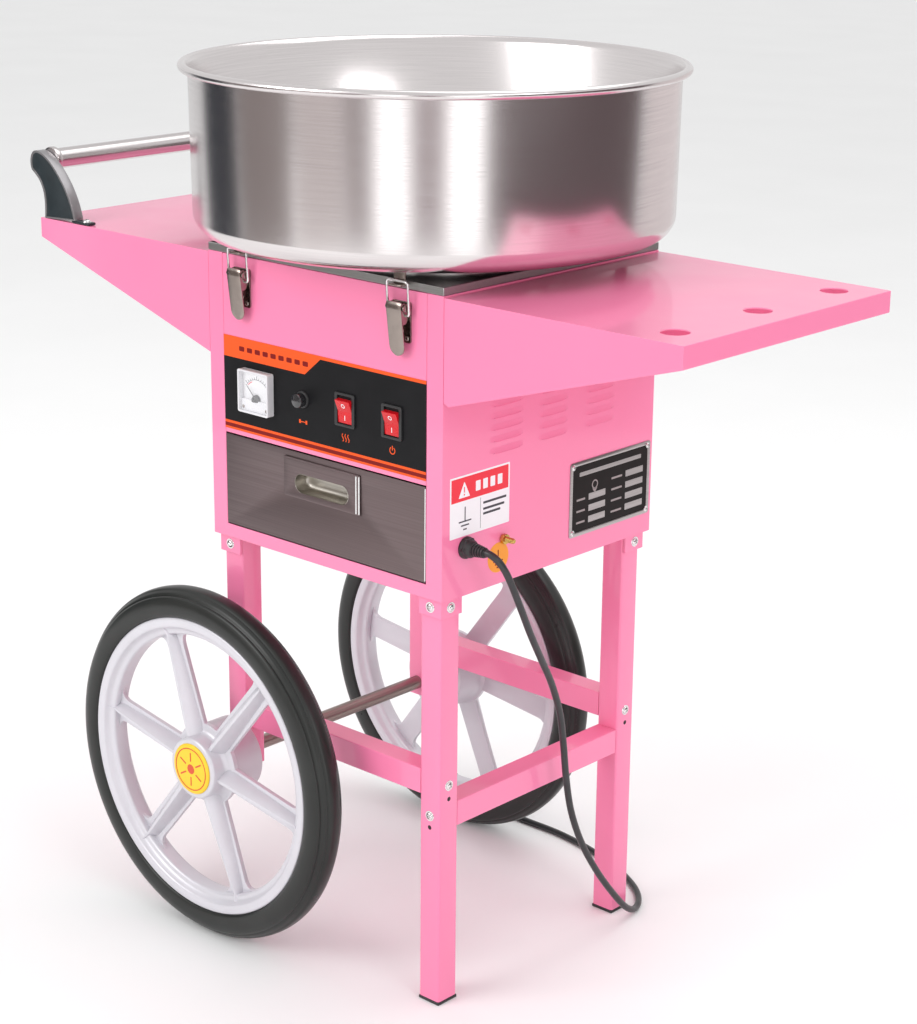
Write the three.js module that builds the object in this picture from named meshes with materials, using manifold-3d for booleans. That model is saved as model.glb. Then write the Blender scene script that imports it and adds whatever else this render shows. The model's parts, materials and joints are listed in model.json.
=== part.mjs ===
// Cotton candy machine on a two-wheeled cart.
// Millimetres, +Z up, floor at z = 0. X runs along the control face, -Y is the control side.
// Everything is placed from the cabinet's centre line; one outer group centres the whole length.

import * as THREE from "three";
import { mergeVertices } from "three/addons/utils/BufferGeometryUtils.js";
import Module from "manifold-3d";

const wasm = await Module();
wasm.setup();

// ---------------------------------------------------------------- driving dimensions

const GAP = 0.3; // clearance between pieces that touch
const SHEET = 1.5; // steel sheet of the cabinet and the shelves
const FRONT = -1; // side of the machine with the controls
const BACK = 1;
const CENTRE_SHIFT = 8.05; // cabinet centre line to the middle of the overall length

const cabinet = { halfX: 169, halfY: 168, bottom: 457, top: 769, flange: 22, sill: 15, backWindowTop: 690 };
const panel = { bottom: 575, depth: 12 };
const topPlate = { edge: 8, hole: 62 };
const shelf = { top: 767.5, lip: 22, root: 109, holeRadius: 14, holeInset: 40, holePitch: 128 };
const rightShelfEnd = 456;
const leftShelfEnd = -452;

const leg = { size: 28, wall: 1.5, x: 147, y: 146, shortBottom: 186 };
const footCap = { size: 29, thick: 3.5, plug: 24.4, plugHeight: 16 };
const socket = { drop: 20, thick: 3, reach: 31 };
const rail = { depth: 26, height: 28, wall: 1.5, frontZ: 251, rightZ: 214 };

const wheel = { x: -147, y: 205, radius: 202, rimRadius: 170, rimInner: 151, spokes: 6, bore: 8.5 };
const arm = { root: 30, rootHalf: 15, tipHalf: 12, depth: 16 };
const ridge = { rootHalf: 4, tipHalf: 3, depth: 22 };
const hub = { back: 43, front: 35, frontTop: 23, cap: 29, capThick: 2.3 };
const tyre = { half: 20, seatHalf: 17, crownHalf: 5, shoulderHalf: 13 };
const axle = { radius: 8, halfLength: 219 };
const spokePhase = { [FRONT]: -10, [BACK]: 7 }; // degrees, each seen from its own outer side

const bowl = { rim: 265, bead: 4.5, top: 967, bottom: 790, wall: 1.6, floorRadius: 228, corner: 25,
  collar: 82, collarTop: 812 };
const bowlSeat = { inner: 118, foot: 134, thick: 3 };
const spinner = { bottom: 818, radius: 78, bandBottom: 822.3, bandTop: 838, top: 846, shaft: 6 };
const motor = { radius: 50, bottom: 600, top: 705 };
const slipRing = { low: 728, high: 752, radius: 15 };
const mount = { halfX: 95, halfY: 60, thick: 3, bore: 16, postX: 84, postY: 48, postRadius: 6 };
const brush = { halfY: 8, outer: 60, stem: 50 };

const handle = { x: -446, z: 832, radius: 12, bracket: 12, bracketY: 156 };
// "Out" is a distance in front of the cabinet wall.
const latch = { x: 115, pivotOut: 10, pivotZ: 752, bailOut: 6.2, bailZ: 744, barOut: 8.5, bar: 778 };
const latchPlate = { half: 12.1, ear: 1.4, bottom: 716, thick: 1.5 };
const lever = { half: 10, cheek: 1.5, bendZ: 738, out: 15, tip: 703, tipOut: 8.2, thick: 1.5 };
const bail = { half: 14.2, tail: 8, bend: 3, wire: 1.3 };
const keeper = { half: 8, bottom: 773, lip: 2, reach: 12, back: 4, thick: 1.5 };

const drawer = { halfX: 146.6, bottom: 473.2, top: 573.8, tray: 138, depth: 270, wall: 1.2,
  under: 5, over: 14 };
const pull = { halfX: 56, bottom: 524, top: 567, thick: 1.7, slotZ: 541, slotHalf: 39, slotRadius: 10,
  slotDepth: 15.5, cup: 1.5, room: 2.5 };
const controlsZ = 632;
const meter = { x: -94, z: 628, half: 23, proud: 9, wall: 2, dialProud: 2.5, can: 18, canDepth: 32 };
const fuse = { x: -27, radius: 7.5, collar: 9, collarProud: 2.5, proud: 10, body: 6, depth: 30, gripHalf: 5 };
const switches = { heat: 35, power: 101 };
const bezel = { halfX: 14, halfZ: 17.5, proud: 2 };
const switchBox = { halfX: 11.7, halfZ: 16.2, depth: 24, wall: 1.3, room: 16 };
const gland = { y: -133, z: 508, thread: 8, length: 27.5 };
const earthStud = { y: -77, z: 504.5, radius: 3, hex: 5.5, hexThick: 4, proud: 16 };

const cord = { radius: 3.75, sides: 8, steps: 56 };
const coil = { x: -140, y: 288, mean: 40, turns: 2, clear: 0.3 };

// ---------------------------------------------------------------- colours

const paint = (color, roughness, metalness) =>
  new THREE.MeshStandardMaterial({ color, roughness, metalness });
const pink = paint(0xf58ab4, 0.35, 0.1);
const stainless = paint(0xc9c7c6, 0.25, 1);
const brushed = paint(0x8d8886, 0.4, 1);
const darkSteel = paint(0x7a746e, 0.35, 1);
const chrome = paint(0xdadada, 0.15, 1);
const silver = paint(0xb9b6c0, 0.45, 0.4);
const rubber = paint(0x1c1d1e, 0.55, 0);
const black = paint(0x161616, 0.5, 0);
const red = paint(0xd81020, 0.3, 0);
const yellow = paint(0xf7c915, 0.4, 0);
const brass = paint(0xc9a24a, 0.3, 1);
const white = paint(0xf0f0ec, 0.5, 0);
const castSteel = paint(0x5f6264, 0.5, 0.8);

// ---------------------------------------------------------------- solids

// A closed geometry as a solid: shared corners merged, slivers dropped, faces turned outwards.
function solid(geometry) {
  const bare = geometry.clone();
  for (const name of Object.keys(bare.attributes)) {
    if (name !== "position") bare.deleteAttribute(name);
  }
  const merged = mergeVertices(bare, 1e-4);
  const index = Array.from(merged.index.array);
  const triangles = [];
  for (let i = 0; i < index.length; i += 3) {
    const [a, b, c] = index.slice(i, i + 3);
    if (a !== b && b !== c && c !== a) triangles.push(a, b, c);
  }
  const build = (order) => new wasm.Manifold(new wasm.Mesh({
    numProp: 3,
    vertProperties: Float32Array.from(merged.attributes.position.array),
    triVerts: Uint32Array.from(order),
  }));
  const first = build(triangles);
  if (first.volume() > 0) return first;
  const flipped = [];
  for (let i = 0; i < triangles.length; i += 3) {
    flipped.push(triangles[i], triangles[i + 2], triangles[i + 1]);
  }
  return build(flipped);
}

const join = (...pieces) => pieces.reduce((sum, piece) => sum.add(piece));
const cut = (piece, ...tools) => tools.reduce((rest, tool) => rest.subtract(tool), piece);

function block(x0, x1, y0, y1, z0, z1) {
  const box = new THREE.BoxGeometry(x1 - x0, y1 - y0, z1 - z0);
  return solid(box.translate((x0 + x1) / 2, (y0 + y1) / 2, (z0 + z1) / 2));
}

// A round bar between two places along one axis; a and b are its other two coordinates, in x, y, z order.
function bar(axis, radius, from, to, a, b, sides = 24, endRadius = radius) {
  const shape = new THREE.CylinderGeometry(endRadius, radius, to - from, sides);
  const middle = (from + to) / 2;
  if (axis === "x") shape.rotateZ(-Math.PI / 2).translate(middle, a, b);
  if (axis === "y") shape.translate(a, middle, b);
  if (axis === "z") shape.rotateX(Math.PI / 2).translate(a, b, middle);
  return solid(shape);
}

// A profile of [radius, height] turned about the vertical axis.
function turned(profile, sides) {
  const points = profile.map(([r, z]) => new THREE.Vector2(r, z));
  return solid(new THREE.LatheGeometry(points, sides).rotateX(Math.PI / 2));
}

// A closed ring profile: the last point meets the first.
const ring = (profile, sides) => turned([...profile, profile[0]], sides);

// An outline in x and z, given thickness along y from y0 to y1.
function plateXZ(shape, y0, y1, curveSegments = 8) {
  const options = { depth: y1 - y0, bevelEnabled: false, curveSegments };
  return solid(new THREE.ExtrudeGeometry(shape, options).rotateX(Math.PI / 2).translate(0, y1, 0));
}

// An outline in y and z, given thickness along x from x0 to x1.
function plateYZ(shape, x0, x1, curveSegments = 8) {
  const options = { depth: x1 - x0, bevelEnabled: false, curveSegments };
  const plate = new THREE.ExtrudeGeometry(shape, options);
  return solid(plate.rotateX(Math.PI / 2).rotateZ(Math.PI / 2).translate(x0, 0, 0));
}

function polygon(points) {
  return new THREE.Shape(points.map(([a, b]) => new THREE.Vector2(a, b)));
}

// A round wire, tube or cord along a curve.
function swept(curve, radius, sides, steps) {
  const section = new THREE.Shape();
  for (let i = 0; i < sides; i += 1) {
    const angle = (2 * Math.PI * i) / sides;
    const place = [radius * Math.cos(angle), radius * Math.sin(angle)];
    if (i === 0) section.moveTo(...place);
    else section.lineTo(...place);
  }
  return solid(new THREE.ExtrudeGeometry(section, { steps, extrudePath: curve, bevelEnabled: false }));
}

// ---------------------------------------------------------------- the model tree

const machine = new THREE.Group();
machine.position.x = CENTRE_SHIFT;

function addTo(group, name, piece, material) {
  const mesh = piece.getMesh();
  const indexed = new THREE.BufferGeometry();
  indexed.setAttribute("position", new THREE.BufferAttribute(Float32Array.from(mesh.vertProperties), 3));
  indexed.setIndex(new THREE.BufferAttribute(Uint32Array.from(mesh.triVerts), 1));
  const faceted = indexed.toNonIndexed();
  faceted.computeVertexNormals();
  const node = new THREE.Mesh(faceted, material);
  node.name = name;
  group.add(node);
  return node;
}

const add = (name, piece, material) => addTo(machine, name, piece, material);

// Front pieces are drawn on the -Y side; their twins at the back are turned half round about Z.
const sideName = (side) => (side === FRONT ? "front" : "back");
const mirrorY = (piece, side) => (side === FRONT ? piece : piece.mirror([0, 1, 0]));

// ---------------------------------------------------------------- cabinet

function cabinetShell() {
  const { halfX, halfY, bottom, top, flange, sill, backWindowTop } = cabinet;
  const window = halfX - flange;
  const holes = [
    bar("x", gland.thread + 0.4, halfX - 5, halfX + 5, gland.y, gland.z, 20),
    bar("x", 3.4, halfX - 5, halfX + 5, earthStud.y, earthStud.z, 12),
  ];
  return cut(
    block(-halfX, halfX, -halfY, halfY, bottom, top),
    block(-halfX + SHEET, halfX - SHEET, -halfY + SHEET, halfY - SHEET, bottom - 1, top + 1),
    block(-window, window, -halfY - 1, -halfY + 8, bottom + sill, top + 1),
    block(-window, window, halfY - 8, halfY + 1, bottom + sill, backWindowTop),
    ...holes,
  );
}

function frontPanel() {
  const { halfX, halfY, top, flange } = cabinet;
  const edge = halfX - flange - 0.4;
  const low = panel.bottom;
  const high = top - GAP;
  const pan = cut(
    block(-edge, edge, -halfY, -halfY + panel.depth, low, high),
    block(-edge + SHEET, edge - SHEET, -halfY + SHEET, -halfY + panel.depth + 1, low + SHEET, high - SHEET),
  );
  const openings = [
    bar("y", 19, -halfY - 2, -halfY + 4, meter.x, meter.z, 24),
    bar("y", 6.4, -halfY - 2, -halfY + 4, fuse.x, controlsZ, 16),
  ];
  for (const x of Object.values(switches)) {
    openings.push(block(x - 12, x + 12, -halfY - 2, -halfY + 4, controlsZ - 16.5, controlsZ + 16.5));
  }
  return cut(pan, ...openings);
}

function backCover() {
  const { halfX, halfY, bottom, flange, sill, backWindowTop } = cabinet;
  const over = 8;
  const edge = halfX - flange + over;
  return block(-edge, edge, halfY + GAP, halfY + GAP + 1.2, bottom + sill - over, backWindowTop + over);
}

// The floor of the cabinet with its four corner sockets, each an angle round the top of a leg.
function basePlate() {
  const { halfX, halfY, bottom } = cabinet;
  const low = bottom + GAP;
  let base = block(-halfX + SHEET + GAP, halfX - SHEET - GAP, -halfY + SHEET + GAP, halfY - SHEET - GAP,
    low, low + SHEET);
  const innerX = leg.x + leg.size / 2 + GAP;
  const innerY = leg.y + leg.size / 2 + GAP;
  const outerX = innerX + socket.thick;
  const outerY = innerY + socket.thick;
  for (const sx of [-1, 1]) {
    for (const sy of [-1, 1]) {
      const angle = cut(
        block(outerX - socket.reach, outerX, outerY - socket.reach, outerY, bottom - socket.drop, low + 0.5),
        block(0, innerX, 0, innerY, 0, low),
      );
      const alongX = sx > 0 ? angle : angle.mirror([1, 0, 0]);
      base = base.add(sy > 0 ? alongX : alongX.mirror([0, 1, 0]));
    }
  }
  return base;
}

function topCover() {
  const x = cabinet.halfX - GAP;
  const y = cabinet.halfY - GAP;
  const low = cabinet.top + GAP;
  return cut(
    block(-x, x, -y, y, low, low + topPlate.edge),
    block(-x + SHEET, x - SHEET, -y + SHEET, y - SHEET, low + SHEET, low + topPlate.edge + 1),
    bar("z", topPlate.hole, low - 1, low + 4, 0, 0, 32),
  );
}

add("cabinet_shell", cabinetShell(), pink);
add("front_panel", frontPanel(), pink);
add("back_cover", backCover(), pink);
add("base_plate", basePlate(), pink);
add("top_plate", topCover(), stainless);

// ---------------------------------------------------------------- shelves and handle

// A folded tray: flat top, an end lip, and two gussets that deepen towards the cabinet.
function shelfTray(length, holes) {
  const start = cabinet.halfX + GAP;
  const end = length;
  const y = cabinet.halfY;
  const low = shelf.top - shelf.root;
  const side = polygon([[start, low], [end, shelf.top - shelf.lip], [end, shelf.top], [start, shelf.top]]);
  const inside = polygon([
    [start + SHEET, low - 20],
    [end - SHEET, shelf.top - shelf.lip - 20],
    [end - SHEET, shelf.top - SHEET],
    [start + SHEET, shelf.top - SHEET],
  ]);
  let tray = cut(plateXZ(side, -y, y), plateXZ(inside, -y + SHEET, y - SHEET));
  tray = cut(tray, block(start - 1, start + SHEET + 1, -y + 25, y - 25, low - 1, shelf.top - 40));
  for (const row of holes) {
    const x = end - shelf.holeInset;
    const y = row * shelf.holePitch;
    tray = cut(tray, bar("z", shelf.holeRadius, shelf.top - 10, shelf.top + 10, x, y, 20));
  }
  return tray;
}

add("right_shelf", shelfTray(rightShelfEnd, [-1, 0, 1]), pink);
add("left_shelf", shelfTray(-leftShelfEnd, []).mirror([1, 0, 0]), pink);

// A horn-shaped upright: a round head that carries the tube, a hollow outer edge, a long bowed inner edge.
function handleBracket(side) {
  const base = shelf.top + GAP;
  const outline = new THREE.Shape();
  const end = leftShelfEnd;
  outline.moveTo(end + 8, base);
  outline.bezierCurveTo(end + 12, base + 34, end + 2, base + 43, end - 13, base + 52);
  outline.bezierCurveTo(end - 22, base + 57, end - 23, base + 68, end - 13, base + 73);
  outline.bezierCurveTo(end + 2, base + 80, end + 24, base + 66, end + 40, base + 46);
  outline.bezierCurveTo(end + 52, base + 32, end + 60, base + 14, end + 62, base);
  outline.closePath();
  const outer = handle.bracketY + handle.bracket;
  const inner = handle.bracketY;
  const [y0, y1] = side === FRONT ? [-outer, -inner] : [inner, outer];
  const foot = block(leftShelfEnd + 55, leftShelfEnd + 84, y0, y1, base, base + 3);
  return join(plateXZ(outline, y0, y1, 6), foot);
}

for (const side of [FRONT, BACK]) {
  add(`handle_bracket_${sideName(side)}`, handleBracket(side), black);
}
const tubeEnd = handle.bracketY - GAP;
add("handle_tube", cut(
  bar("y", handle.radius, -tubeEnd, tubeEnd, handle.x, handle.z, 24),
  bar("y", handle.radius - SHEET, -tubeEnd - 1, tubeEnd + 1, handle.x, handle.z, 24),
), stainless);

// ---------------------------------------------------------------- legs, feet, rails

function squareTube(axis, from, to, a, b, sizeA, sizeB, wall) {
  const make = (s, t, lo, hi) => {
    if (axis === "x") return block(lo, hi, a - s, a + s, b - t, b + t);
    if (axis === "y") return block(a - s, a + s, lo, hi, b - t, b + t);
    return block(a - s, a + s, b - t, b + t, lo, hi);
  };
  const outer = make(sizeA / 2, sizeB / 2, from, to);
  return cut(outer, make(sizeA / 2 - wall, sizeB / 2 - wall, from - 1, to + 1));
}

for (const side of [FRONT, BACK]) {
  for (const end of ["left", "right"]) {
    const x = end === "left" ? -leg.x : leg.x;
    const bottom = end === "left" ? leg.shortBottom : footCap.thick + GAP;
    const y = side * leg.y;
    let post = squareTube("z", bottom, cabinet.bottom, x, y, leg.size, leg.size, leg.wall);
    if (end === "left") {
      post = cut(post, bar("y", axle.radius + GAP, y - 20, y + 20, x, wheel.radius, 24));
    }
    add(`leg_${end}_${sideName(side)}`, post, pink);
  }
  const half = footCap.size / 2;
  const plug = footCap.plug / 2;
  const x = leg.x;
  const y = side * leg.y;
  add(`foot_cap_${sideName(side)}`, join(
    block(x - half, x + half, y - half, y + half, 0, footCap.thick),
    block(x - plug, x + plug, y - plug, y + plug, footCap.thick - 1, footCap.thick + footCap.plugHeight),
  ), black);
}

const railEnd = leg.x - leg.size / 2 - GAP;
const railEndY = leg.y - leg.size / 2 - GAP;
const { depth: railDepth, height: railHeight, wall: railWall } = rail;
for (const side of [FRONT, BACK]) {
  const beam = squareTube("x", -railEnd, railEnd, side * leg.y, rail.frontZ, railDepth, railHeight, railWall);
  add(`rail_${sideName(side)}`, beam, pink);
}
const cross = squareTube("y", -railEndY, railEndY, leg.x, rail.rightZ, railDepth, railHeight, railWall);
add("rail_right", cross, pink);

// ---------------------------------------------------------------- axle and wheels

add("axle", bar("y", axle.radius, -axle.halfLength, axle.halfLength, wheel.x, wheel.radius, 24), darkSteel);

// One wheel lies flat with its outer side up, then stands up on its side of the cart.
function standWheel(side) {
  const stand = new THREE.Group();
  stand.rotation.x = side === FRONT ? Math.PI / 2 : -Math.PI / 2;
  stand.position.set(wheel.x, side * wheel.y, wheel.radius);
  machine.add(stand);
  return stand;
}

// A tapered bar from inside the hub out to the rim, as thick as its depth about the wheel's middle.
function spokeBar({ rootHalf, tipHalf, depth }, tip) {
  const outline = polygon([[arm.root, -rootHalf], [tip, -tipHalf], [tip, tipHalf], [arm.root, rootHalf]]);
  const beam = new THREE.ExtrudeGeometry(outline, { depth, bevelEnabled: false });
  return solid(beam.translate(0, 0, -depth / 2));
}

function wheelBody(phase) {
  const { bore, rimInner, rimRadius } = wheel;
  const rim = ring([
    [rimInner, -9], [158, -15], [rimRadius, -17], [rimRadius, 17], [158, 15], [rimInner, 9],
  ], 36);
  const centre = ring([
    [bore, -hub.back], [hub.back, -hub.back], [hub.back, -16], [hub.front + 1, -10],
    [hub.front, hub.frontTop], [bore, hub.frontTop],
  ], 20);
  let body = join(rim, centre);
  for (let i = 0; i < wheel.spokes; i += 1) {
    const spoke = join(spokeBar(arm, rimInner + 3), spokeBar(ridge, rimInner));
    body = body.add(spoke.rotate([0, 0, phase + (360 * i) / wheel.spokes]));
  }
  return body;
}

function tyreBody() {
  const { radius, rimRadius } = wheel;
  const inner = rimRadius + GAP;
  const half = [
    [inner, tyre.seatHalf], [inner + 6, tyre.half], [inner + 20, tyre.half],
    [radius - 3, tyre.shoulderHalf], [radius, tyre.crownHalf],
  ];
  const far = half.map(([r, w]) => [r, -w]);
  return ring([...far, ...half.reverse()], 36);
}

// A disc that covers the axle's end, its outer edge broken.
function hubCap() {
  const low = hub.frontTop + GAP;
  const high = low + hub.capThick;
  return turned([[0, low], [hub.cap, low], [hub.cap, high - 0.8], [hub.cap - 3, high], [0, high]], 24);
}

for (const side of [FRONT, BACK]) {
  const stand = standWheel(side);
  addTo(stand, `wheel_${sideName(side)}`, wheelBody(spokePhase[side]), silver);
  addTo(stand, `tyre_${sideName(side)}`, tyreBody(), rubber);
  addTo(stand, `hub_cap_${sideName(side)}`, hubCap(), yellow);
}

// ---------------------------------------------------------------- bowl

// A quarter bend of the bowl's bottom corner, from the floor up to the wall.
function bowlCorner(radius, steps) {
  const centreR = bowl.floorRadius;
  const centreZ = bowl.bottom + bowl.corner;
  const points = [];
  for (let i = 0; i <= steps; i += 1) {
    const angle = (Math.PI / 2) * (i / steps);
    points.push([centreR + radius * Math.sin(angle), centreZ - radius * Math.cos(angle)]);
  }
  return points;
}

function bowlShell() {
  const { rim, bead, top, bottom, wall, collar, collarTop, corner } = bowl;
  const beadR = rim - bead;
  const beadZ = top - bead;
  const shell = ring([
    [collar, bottom], [collar, collarTop], [collar + wall, collarTop], [collar + wall, bottom + wall],
    ...bowlCorner(corner - wall, 3),
    [beadR - bead, beadZ], [beadR - 2, top], [beadR + 2, top],
    [rim, beadZ + 2], [rim, beadZ - 2], [beadR + 2, beadZ - bead], [beadR - 2.8, beadZ - bead],
    ...bowlCorner(corner, 3).reverse(),
  ], 36);
  const seatLow = cabinet.top + GAP + SHEET + GAP;
  const { inner, foot, thick } = bowlSeat;
  const seat = ring([
    [inner, seatLow], [foot, seatLow], [foot, seatLow + 2], [inner + thick, seatLow + 2],
    [inner + thick, bottom + 0.6], [inner, bottom + 0.6],
  ], 32);
  const face = -cabinet.halfY;
  const { half, back, thick: tab, reach, lip, bottom: low } = keeper;
  let all = join(shell, seat);
  for (const x of [-latch.x, latch.x]) {
    for (const side of [FRONT, BACK]) {
      const hook = join(
        block(x - half, x + half, face - back - tab, face - back, low, bottom + 0.6),
        block(x - half, x + half, face - reach, face - back, low, low + lip),
      );
      all = all.add(mirrorY(hook, side));
    }
  }
  return all;
}

add("bowl", bowlShell(), stainless);

// ---------------------------------------------------------------- spinner head and drive

add("motor", join(
  bar("z", motor.radius, motor.bottom, motor.top, 0, 0, 24),
  bar("z", 20, motor.bottom - 8, motor.bottom, 0, 0, 16),
), castSteel);

function motorMount() {
  const low = motor.top + GAP;
  const { halfX, halfY, thick, bore, postX, postY, postRadius } = mount;
  let body = cut(
    block(-halfX, halfX, -halfY, halfY, low, low + thick),
    bar("z", bore, low - 1, low + thick + 1, 0, 0, 20),
  );
  for (const x of [-postX, postX]) {
    for (const y of [-postY, postY]) body = body.add(bar("z", postRadius, low, cabinet.top, x, y, 10));
  }
  const brushes = join(
    block(slipRing.radius + 2, brush.outer, -brush.halfY, brush.halfY, slipRing.low + 2, slipRing.high - 2),
    block(brush.stem, brush.outer, -brush.halfY, brush.halfY, low + thick - 1, slipRing.high - 2),
  );
  return body.add(brushes);
}
add("motor_mount", motorMount(), castSteel);

add("motor_shaft", join(
  bar("z", spinner.shaft, motor.top + GAP, spinner.bottom - GAP, 0, 0, 16),
  bar("z", slipRing.radius, slipRing.low, slipRing.high, 0, 0, 20),
), darkSteel);

const head = spinner.radius;
const baseTop = spinner.bandBottom - GAP;
add("head_base", turned([
  [0, spinner.bottom], [head, spinner.bottom], [head, baseTop], [0, baseTop],
], 32), silver);
add("head_band", ring([
  [head - 8, spinner.bandBottom], [head - 1, spinner.bandBottom],
  [head - 1, spinner.bandTop], [head - 8, spinner.bandTop],
], 32), chrome);
const headLid = spinner.bandTop + GAP;
add("head_cap", ring([
  [22, headLid], [head, headLid], [head, headLid + 2], [46, spinner.top], [22, spinner.top],
], 32), silver);

// ---------------------------------------------------------------- latches

// A place in front of the control side's wall; the other side is a mirror image.
const out = (distance) => -cabinet.halfY - distance;

// A plate with two ears and the pivot pin, riveted to the cabinet.
function latchBase() {
  const { pivotOut, pivotZ } = latch;
  const { half, ear: earThick, bottom, thick } = latchPlate;
  const ear = polygon([
    [out(1), pivotZ - 3], [out(pivotOut), pivotZ - 3.2], [out(pivotOut + 2.6), pivotZ - 1.8],
    [out(pivotOut + 2.6), pivotZ + 1.8], [out(pivotOut), pivotZ + 3.2], [out(1), pivotZ + 5],
  ]);
  return join(
    block(-half, half, out(GAP + thick), out(GAP), bottom, pivotZ + 5),
    plateYZ(ear, -half, -half + earThick),
    plateYZ(ear, half - earThick, half),
    bar("x", 1.5, -12, 12, out(pivotOut), pivotZ, 8),
  );
}

// The lever: a face plate that leans in to a rounded tip, and two cheeks for the pin and the bail.
function latchLever() {
  const { pivotOut, pivotZ, bailOut, bailZ } = latch;
  const { half, cheek: cheekThick, bendZ, out: leverOut, tip, tipOut, thick } = lever;
  const face = polygon([
    [out(leverOut - thick), pivotZ + 5], [out(leverOut), pivotZ + 5], [out(leverOut), bendZ],
    [out(tipOut), tip], [out(tipOut - thick), tip], [out(leverOut - thick), bendZ],
  ]);
  const roundZ = tip + half + 0.5;
  const front = new THREE.Shape();
  front.moveTo(-half, pivotZ + 6);
  front.lineTo(-half, roundZ);
  front.absarc(0, roundZ, half, Math.PI, 2 * Math.PI, false);
  front.lineTo(half, pivotZ + 6);
  front.closePath();
  const cheek = polygon([
    [out(2.8), bailZ - 3], [out(6), bailZ - 8], [out(13.6), bailZ - 8], [out(13.6), pivotZ + 5],
    [out(7), pivotZ + 5], [out(2.8), bailZ + 3],
  ]);
  return cut(
    join(
      plateYZ(face, -half, half).intersect(plateXZ(front, out(leverOut + 5), out(0), 5)),
      plateYZ(cheek, -half, -half + cheekThick),
      plateYZ(cheek, half - cheekThick, half),
    ),
    bar("x", 1.9, -12, 12, out(pivotOut), pivotZ, 8),
    bar("x", 1.8, -12, 12, out(bailOut), bailZ, 8),
  );
}

// Straight runs between corners, each corner rounded to the bend length.
function bentPath(corners, bend) {
  const points = corners.map((corner) => new THREE.Vector3(...corner));
  const path = new THREE.CurvePath();
  let start = points[0];
  for (let i = 1; i < points.length - 1; i += 1) {
    const corner = points[i];
    const before = corner.clone().add(points[i - 1].clone().sub(corner).setLength(bend));
    const after = corner.clone().add(points[i + 1].clone().sub(corner).setLength(bend));
    path.add(new THREE.LineCurve3(start, before));
    path.add(new THREE.QuadraticBezierCurve3(before, corner, after));
    start = after;
  }
  path.add(new THREE.LineCurve3(start, points[points.length - 1]));
  return path;
}

// The wire bail: in through the lever's cheeks, up both sides, and across above the keeper's lip.
function latchBail() {
  const { bailOut, bailZ, barOut, bar: top } = latch;
  const { half, tail, bend, wire } = bail;
  const low = out(bailOut);
  const high = out(barOut);
  const path = bentPath([
    [-tail, low, bailZ], [-half, low, bailZ], [-half, high, top],
    [half, high, top], [half, low, bailZ], [tail, low, bailZ],
  ], bend);
  return swept(path, wire, 6, 30);
}

for (const side of [FRONT, BACK]) {
  for (const end of ["left", "right"]) {
    const x = end === "left" ? -latch.x : latch.x;
    const tag = `${sideName(side)}_${end}`;
    add(`latch_base_${tag}`, mirrorY(latchBase(), side).translate([x, 0, 0]), darkSteel);
    add(`latch_lever_${tag}`, mirrorY(latchLever(), side).translate([x, 0, 0]), darkSteel);
    add(`latch_bail_${tag}`, mirrorY(latchBail(), side).translate([x, 0, 0]), darkSteel);
  }
}

// ---------------------------------------------------------------- drawer

const slotShape = (halfLength, radius) => {
  const slot = new THREE.Shape();
  const run = halfLength - radius;
  slot.absarc(-run, pull.slotZ, radius, Math.PI / 2, Math.PI * 1.5, false);
  slot.absarc(run, pull.slotZ, radius, -Math.PI / 2, Math.PI / 2, false);
  slot.closePath();
  return slot;
};

function drawerBox() {
  const y = -cabinet.halfY;
  const { halfX, bottom, top, tray, depth, wall, under, over } = drawer;
  const { slotHalf, slotRadius, room } = pull;
  const face = block(-halfX, halfX, y, y + SHEET, bottom, top);
  const box = cut(
    block(-tray, tray, y, y + depth, bottom + under, top - over),
    block(-tray + wall, tray - wall, y + SHEET, y + depth - wall, bottom + under + wall, top),
  );
  const slot = plateXZ(slotShape(slotHalf + room, slotRadius + room), y - 5, y + 8, 8);
  return cut(join(face, box), slot);
}

function pullPlate() {
  const y = -cabinet.halfY - GAP;
  const { halfX, bottom, top, thick, slotHalf, slotRadius, slotDepth, cup: wall } = pull;
  const plate = block(-halfX, halfX, y - thick, y, bottom, top);
  const cup = plateXZ(slotShape(slotHalf + wall, slotRadius + wall), y - 1, y + slotDepth + wall, 8);
  const hollow = plateXZ(slotShape(slotHalf, slotRadius), y - 5, y + slotDepth, 8);
  return cut(join(plate, cup), hollow);
}

add("drawer", drawerBox(), brushed);
add("drawer_pull", pullPlate(), brushed);

// ---------------------------------------------------------------- controls

const face = -cabinet.halfY - GAP;

function meterHousing() {
  const { x, z, half, proud, wall, dialProud, can, canDepth } = meter;
  const inside = half - wall;
  return cut(
    join(
      block(x - half, x + half, face - proud, face, z - half, z + half),
      bar("y", can, face - 1, face + canDepth, x, z, 20),
    ),
    block(x - inside, x + inside, face - proud - 1, face - dialProud, z - inside, z + inside),
  );
}
add("meter_housing", meterHousing(), white);

// The needle turns on a stub low on the dial; it is drawn lying at the zero end of the scale.
const needle = { z: meter.z - 7, length: 20, rest: 45 };
const needleBody = join(
  block(-0.5, 0.5, face - 5.4, face - 4.6, 0, needle.length),
  bar("y", 2.2, face - 5.8, face - 3.2, 0, 0, 10),
).rotate([0, -needle.rest, 0]).translate([meter.x, 0, needle.z]);
add("meter_needle", needleBody, black);

add("fuse_holder", join(
  bar("y", fuse.collar, face - fuse.collarProud, face, fuse.x, controlsZ, 16),
  bar("y", fuse.body, face - 1, face + fuse.depth, fuse.x, controlsZ, 16),
), black);
const grip = { half: fuse.gripHalf, thickHalf: 0.9, proud: fuse.proud + 1.2 };
add("fuse_cap", join(
  bar("y", fuse.radius, face - fuse.proud, face - fuse.collarProud - GAP, fuse.x, controlsZ, 16),
  block(fuse.x - grip.half, fuse.x + grip.half, face - grip.proud, face - fuse.proud + 1,
    controlsZ - grip.thickHalf, controlsZ + grip.thickHalf),
), black);

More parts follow.
